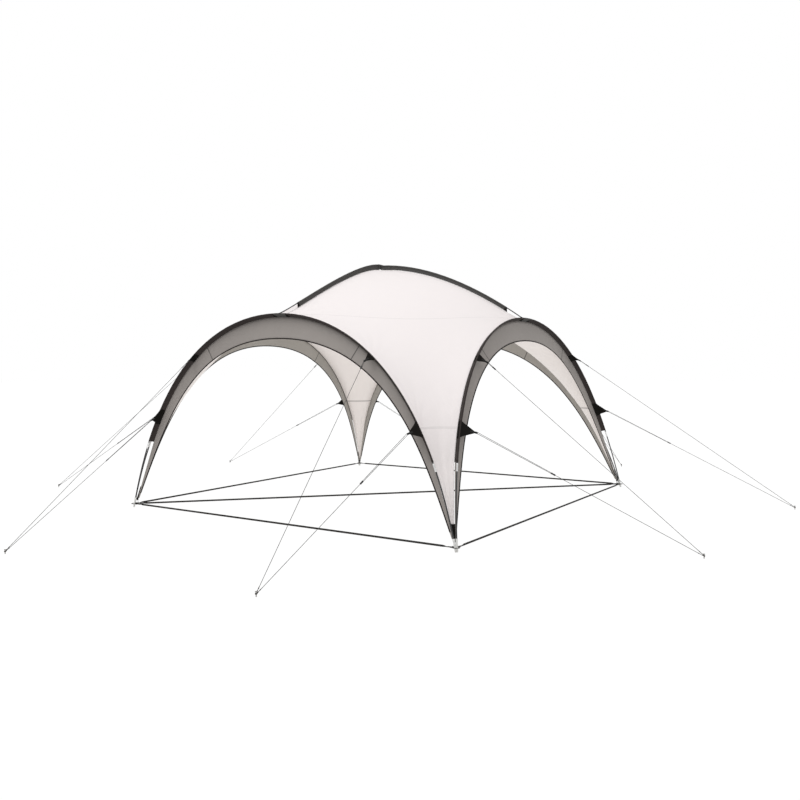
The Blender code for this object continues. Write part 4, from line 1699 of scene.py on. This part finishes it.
def patch_point(side, held, level, share, row, face):
    """A point of one face of a guy patch: from the sleeve's seam, over the pole, and out to the tip."""
    place, centre, run, pull = held
    reach = PATCH_REACHES[level]
    base = PATCH_BASES[level]
    width = base + (PATCH_TIP - base) * max(0, (row - 0.33) / 0.67)
    away = (share - 0.5) * width
    spot = place + away / arch_step(side, place).length
    middle, seam = arch_spot(side, spot), seam_spot(side, spot)
    across, flat, depth = sleeve_axes(middle, seam, run)
    flat *= face
    nose = SLEEVE_NOSE + PATCH_SPACE
    straight = centre + away * run
    side_way = run.cross(pull).normalized()
    side_way *= 1 if side_way.dot(flat) > 0 else -1
    stops = [
        seam + (SEAM_ROLL + PATCH_SPACE) * flat,
        middle + 0.6 * depth * across + (BAND_HALF + 0.0022) * flat,
        middle + 0.3 * depth * across + 0.0055 * flat,
        middle + nose * (0.30 * across + 0.954 * flat).normalized(),
        middle + nose * (flat * 0.80 + side_way * 0.45 + pull * 0.45).normalized(),
        middle.lerp(straight, 0.3) + (nose + 0.004) * pull + 0.0040 * side_way,
        middle.lerp(straight, 0.8) + (nose + 0.020) * pull + 0.0014 * side_way,
        straight + (SLEEVE_NOSE + reach * 0.6) * pull + 0.0011 * side_way,
        straight + (SLEEVE_NOSE + reach) * pull + 0.0010 * side_way,
    ]
    for low, high, first, second in zip(PATCH_STOPS, PATCH_STOPS[1:], stops, stops[1:]):
        if row <= high or high == 1.0:
            return first.lerp(second, (row - low) / (high - low))


def make_guy_patches(name, side, end, peg):
    """The two patches of a guy line with their loops, and each loop's eye and the arch's run there."""
    made = []
    for level, height in enumerate(PATCH_HEIGHTS):
        label = f"{('lower', 'upper')[level]}_{name}"
        held = guy_frame(side, end, height, peg)
        _, centre, run, pull = held
        bm = bmesh.new()
        for face in (1, -1):

            def place_on(share, row):
                return patch_point(side, held, level, share, row, face)

            add_grid(
                bm, PATCH_COLUMNS, PATCH_ROWS, place_on, lambda share, row: (share * 0.12, row * 0.16)
            )
        patch = add_piece(
            f"guy_patch_{label}", bm, ("Patch Cloth",), wall=0.0009, offset=0.0
        )
        tip = centre + pull * (SLEEVE_NOSE + PATCH_REACHES[level])
        aside = run.cross(pull).normalized()
        bm = bmesh.new()
        there = ((-0.030, 0.0021), (LOOP_LENGTH * 0.5, 0.0034), (LOOP_LENGTH, 0.0030))
        back = [(out, -off) for out, off in reversed(there)]
        spots = [*there, (LOOP_LENGTH + 0.002, 0.0), *back]
        path = round_off([tip + out * pull + off * aside for out, off in spots], 0.004)
        add_sweep(bm, path, [run] * len(path), rounded_slab(LOOP_WIDTH, 0.0013, 0.0004))
        loop = add_piece(f"guy_loop_{label}", bm, ("Strap Webbing",))
        made.append((patch, loop, tip + (LOOP_LENGTH - 0.0022) * pull, run))
    return made


def knot(bm, centre, ahead, radius):
    """Adds a knot: a short fat twist of cord on the line."""
    points = []
    aside = ahead.cross(UP).normalized()
    lift = aside.cross(ahead)
    for step in range(33):
        angle = step / 32 * 5 * pi
        along_it = (step / 32 - 0.5) * radius * 5
        points.append(centre + ahead * along_it + radius * 0.9 * (cos(angle) * aside + sin(angle) * lift))
    add_rod(bm, points, radius, 7)


def add_peg_loop(bm, peg, start, height, radius):
    """Adds the loop of a guy line round its peg, with its knot, and gives the knot's place."""
    level = Vector((*peg, height))
    away = (start - level).normalized()
    flat = (away * Vector((1, 1, 0))).normalized()
    aside = flat.cross(UP)
    round_peg = PEG_RADIUS + radius + 0.0003
    tie = level + away * TIE_LENGTH
    bend = arc(level, -round_peg * flat, round_peg * aside, -1.25, 1.25, 14)
    path = [tie + aside * radius, *bend, tie - aside * radius]
    add_rod(bm, path, radius, CORD_SIDES)
    knot(bm, tie + away * radius * 2, away, radius)
    return tie


def make_guy_line(name, side, end, peg):
    """Makes both cords to a peg with their runners, and gives the patches and loops that they pull."""
    lines = chosen("lines")
    radius = lines.cord_diameter / 2
    foot = Vector((*peg, GUY_LOOP_HEIGHT))
    made = make_guy_patches(name, side, end, foot)
    bm = bmesh.new()
    runners = bmesh.new()
    for index, (_, _, eye, run) in enumerate(made):
        height = GUY_LOOP_HEIGHT - 0.004 + 0.0036 * index * (lines.cord_diameter / 0.003)
        tie = add_peg_loop(bm, peg, eye, height, radius)
        line = tie - eye
        ahead = line.normalized()
        aside = (run - run.dot(ahead) * ahead).normalized()
        share = (lines.double_share, UPPER_DOUBLE_SHARE)[index]
        spread = CORD_SPREADS[index]
        slider, near_eye = eye + line * share, eye + ahead * SPREAD_UNTIL
        near = AT_RUNNER * aside
        bend = arc(eye + ahead * 0.004, spread * aside, -0.0035 * ahead, 0, pi, 8)
        there = [slider + near, near_eye + spread * aside]
        path = [*there, *bend, near_eye - spread * aside, slider - near]
        add_rod(bm, path, radius, CORD_SIDES)
        add_rod(bm, [slider, slider + line * (1 - share) * 0.5, tie], radius, CORD_SIDES)
        add_runner(runners, slider, ahead, aside, lines.runner_length)
    add_piece(f"guy_cord_{name}", bm, ("Braided Cord",), [f"guy_line_{name}"])
    add_piece(f"guy_runners_{name}", runners, ("Black Plastic",))
    return [piece for patch, loop, *_ in made for piece in (patch, loop)]


def add_runner(bm, middle, ahead, aside, length):
    """Adds the flat slider that grips a doubled cord, swollen round the cord and narrower at its waist."""
    shares = (0, 0.04, 0.12, 0.3, 0.5, 0.7, 0.88, 0.96, 1)
    widths = (0.70, 0.88, 1.0, 0.93, 0.86, 0.93, 1.0, 0.88, 0.70)
    path = [middle + ahead * length * (share - 0.5) for share in shares]

    def outline(share):
        grown = read(widths, share)
        slab = rounded_slab(RUNNER_WIDTH, RUNNER_THICKNESS, 0.0026, 3)
        return [(x * grown, y * grown) for x, y in slab]

    add_sweep(bm, path, [aside] * len(path), outline)


def make_peg(name, peg):
    """The shank and head of a ground peg, as far as they stand out of the ground."""
    head = PEG_HEIGHT
    profile = [
        (0, 0), (PEG_RADIUS * 0.96, 0), (PEG_RADIUS, 0.001), (PEG_RADIUS, head - 0.0060),
        (PEG_RADIUS + 0.0006, head - 0.0048), (0.0072, head - 0.0042), (0.0078, head - 0.0034),
        (0.0080, head - 0.0020), (0.0076, head - 0.0008), (0.0060, head - 0.0002), (0, head),
    ]
    bm = bmesh.new()
    add_turned(bm, profile, 24, Matrix.Translation(Vector((*peg, 0))))
    add_piece(f"ground_peg_{name}", bm, ("Peg Steel",), [f"peg_{name}"])


# Stage


CAMERA_PLACE = Vector((4.655, -7.046, 1.393))
CAMERA_YAW = 33.012
CAMERA_PITCH = -2.787
CAMERA_ROLL = -0.157
KEY_PLACE = Vector((-0.3, -4.5, 10.5))
KEY_AIM = Vector((0, 0, 1.0))
KEY_SIZE = 7.0
KEY_ENERGY = 1500.0
SKY_TO_RIGHT = 0.25  # how much more light comes from the right than from the middle
FLOOR_GREY = 0.045  # the part of the floor that takes shadows
FLOOR_SEEN = 0.955  # the light that it sends to the camera
FLOOR_CAST = 0.90  # the light that it sends to the shelter
FLOOR_DROP = 0.0005
WHITE = (1, 1, 1, 1)


def camera_sees(tree, seen, otherwise):
    """A shader that is one thing where the camera looks straight at it, and another for light."""
    looked_at = tree.nodes.new("ShaderNodeLightPath").outputs["Is Camera Ray"]
    return add_node(tree, "ShaderNodeMixShader", {0: looked_at, 1: otherwise, 2: seen}).outputs[0]


def pale_sky(strength):
    """White where the camera looks past the floor, and a softer white light everywhere else."""
    world = bpy.data.worlds.new("Studio")
    world.use_nodes = True
    tree = world.node_tree
    plain = tree.nodes["Background"]
    plain.inputs["Color"].default_value = WHITE
    over = tree.nodes.new("ShaderNodeTexCoord").outputs["Generated"]
    to_right = reckon(tree, "MULTIPLY_ADD", split(tree, over)[0], SKY_TO_RIGHT * strength, strength)
    tree.links.new(to_right, plain.inputs["Strength"])
    seen = add_node(tree, "ShaderNodeBackground", {"Color": WHITE, "Strength": 1.0})
    both = camera_sees(tree, seen.outputs[0], plain.outputs[0])
    tree.links.new(both, tree.nodes["World Output"].inputs["Surface"])
    bpy.context.scene.world = world


def pale_floor():
    """A floor that is nearly white, and still takes a faint shadow."""
    made, tree, shader, *_ = start_finish("Studio Floor", 0.9)
    shader["Base Color"].default_value = (FLOOR_GREY, FLOOR_GREY, FLOOR_GREY, 1)
    seen, cast = (
        add_node(tree, "ShaderNodeEmission", {"Color": WHITE, "Strength": strength}).outputs[0]
        for strength in (FLOOR_SEEN, FLOOR_CAST)
    )
    lit = tree.nodes["Principled BSDF"].outputs[0]
    both = add_node(tree, "ShaderNodeAddShader", {0: lit, 1: camera_sees(tree, seen, cast)})
    tree.links.new(both.outputs[0], tree.nodes["Material Output"].inputs["Surface"])
    return made


def make_stage():
    settings = chosen("stage")
    bm = bmesh.new()
    bmesh.ops.create_grid(bm, x_segments=8, y_segments=8, size=settings.floor / 2)
    bmesh.ops.translate(bm, verts=bm.verts, vec=-FLOOR_DROP * UP)
    floor_object = add_object("studio_floor", bm)
    floor_object.data.materials.append(pale_floor())
    pale_sky(settings.sky)
    lamp = bpy.data.lights.new("key_light", "AREA")
    lamp.shape = "DISK"
    lamp.size = KEY_SIZE
    lamp.energy = KEY_ENERGY * settings.key
    key = add_object("key_light", lamp)
    key.location = KEY_PLACE
    key.rotation_euler = (KEY_AIM - KEY_PLACE).to_track_quat("-Z", "Y").to_euler()
    lens = bpy.data.cameras.new("camera")
    lens.lens = settings.lens
    lens.sensor_width = 36.0
    lens.clip_start = 0.1
    lens.clip_end = 300.0
    camera = add_object("camera", lens)
    camera.location = CAMERA_PLACE
    turn = Matrix.Rotation(radians(CAMERA_YAW), 3, "Z") @ Matrix.Rotation(radians(90 + CAMERA_PITCH), 3, "X")
    camera.rotation_euler = (turn @ Matrix.Rotation(radians(CAMERA_ROLL), 3, "Z")).to_euler()
    bpy.context.scene.camera = camera
    bpy.context.scene.view_settings.view_transform = "Standard"


# Operators


def surface_area(obj):
    """The area of one face of a piece's cloth, before its thickness."""
    return sum(face.area for face in obj.data.polygons)


class SHELTER_OT_stage(bpy.types.Operator):
    """Makes the pale floor, the soft light and the camera"""

    bl_idname = "shelter.stage"
    bl_label = "Stage"

    def execute(self, context):
        make_stage()
        return {"FINISHED"}


class SHELTER_OT_roof(bpy.types.Operator):
    """Makes the roof, one cloth over four legs, with the tabs at their ends"""

    bl_idname = "shelter.roof"
    bl_label = "Roof"

    def execute(self, context):
        roof = make_roof()
        tabs = [piece for pair in make_foot_tabs() for piece in pair]
        return {"FINISHED"}


class SHELTER_OT_poles(bpy.types.Operator):
    """Makes the arch poles with their ferrules, and the ridge poles"""

    bl_idname = "shelter.poles"
    bl_label = "Poles"

    def execute(self, context):
        make_arch_poles()
        make_ridge_poles()
        return {"FINISHED"}


class SHELTER_OT_sleeves(bpy.types.Operator):
    """Makes the sleeves of the poles, with the patches on the crowns and for the guy lines"""

    bl_idname = "shelter.sleeves"
    bl_label = "Sleeves and Guy Lines"

    def execute(self, context):
        arch = make_arch_sleeves()
        extras = {side: list(pair) for side, pair in enumerate(make_crown_hubs())}
        for side, name in enumerate(SIDES):
            for end, neighbour in ((-1, SIDES[side - 1]), (1, SIDES[(side + 1) % 4])):
                where = f"{name}_{neighbour}"
                extras[side] += make_guy_line(where, side, end, PEGS[where])
                make_peg(where, PEGS[where])
        for side, (sleeve, length) in enumerate(arch):
            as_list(extras[side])
        cover = make_apex_cover()
        for side, (sleeve, length) in enumerate(make_ridge_sleeves()):
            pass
        return {"FINISHED"}


class SHELTER_OT_valances(bpy.types.Operator):
    """Makes the crescents of cloth in the arches, with the tape on their hems"""

    bl_idname = "shelter.valances"
    bl_label = "Valances"

    def execute(self, context):
        for side, (cloth, hem) in enumerate(make_valances()):
            surface_area(cloth)
        return {"FINISHED"}


class SHELTER_OT_feet(bpy.types.Operator):
    """Makes the feet with their rings, and the straps on the ground"""

    bl_idname = "shelter.feet"
    bl_label = "Feet and Straps"

    def execute(self, context):
        make_feet()
        make_straps()
        return {"FINISHED"}


PARTS = ("stage", "roof", "poles", "sleeves", "valances", "feet")


class SHELTER_PT_parts(bpy.types.Panel):
    """Lists the parts of the shelter and their settings"""

    bl_idname = "SHELTER_PT_parts"
    bl_label = "Dome Shelter"
    bl_space_type = "VIEW_3D"
    bl_region_type = "UI"
    bl_category = "Shelter"

    def draw(self, context):
        layout = self.layout
        for part in PARTS:
            layout.operator(f"shelter.{part}")
        for label in SETTINGS:
            box = layout.box()
            settings = getattr(context.scene, label)
            for name in settings.__annotations__:
                box.prop(settings, name)


SETTINGS = {
    "shelter_cloth": ShelterCloth,
    "shelter_poles": ShelterPoles,
    "shelter_lines": ShelterLines,
    "shelter_stage": ShelterStage,
}
CLASSES = (
    *SETTINGS.values(),
    SHELTER_OT_stage,
    SHELTER_OT_roof,
    SHELTER_OT_poles,
    SHELTER_OT_sleeves,
    SHELTER_OT_valances,
    SHELTER_OT_feet,
    SHELTER_PT_parts,
)


def register():
    for made in CLASSES:
        bpy.utils.register_class(made)
    for label, settings in SETTINGS.items():
        setattr(bpy.types.Scene, label, PointerProperty(type=settings))


def unregister():
    for label in SETTINGS:
        delattr(bpy.types.Scene, label)
    for made in reversed(CLASSES):
        bpy.utils.unregister_class(made)


def main():
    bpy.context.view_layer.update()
    register()
    for part in PARTS:
        getattr(bpy.ops.shelter, part)()
    bpy.context.view_layer.update()


if __name__ == "__main__":
    main()
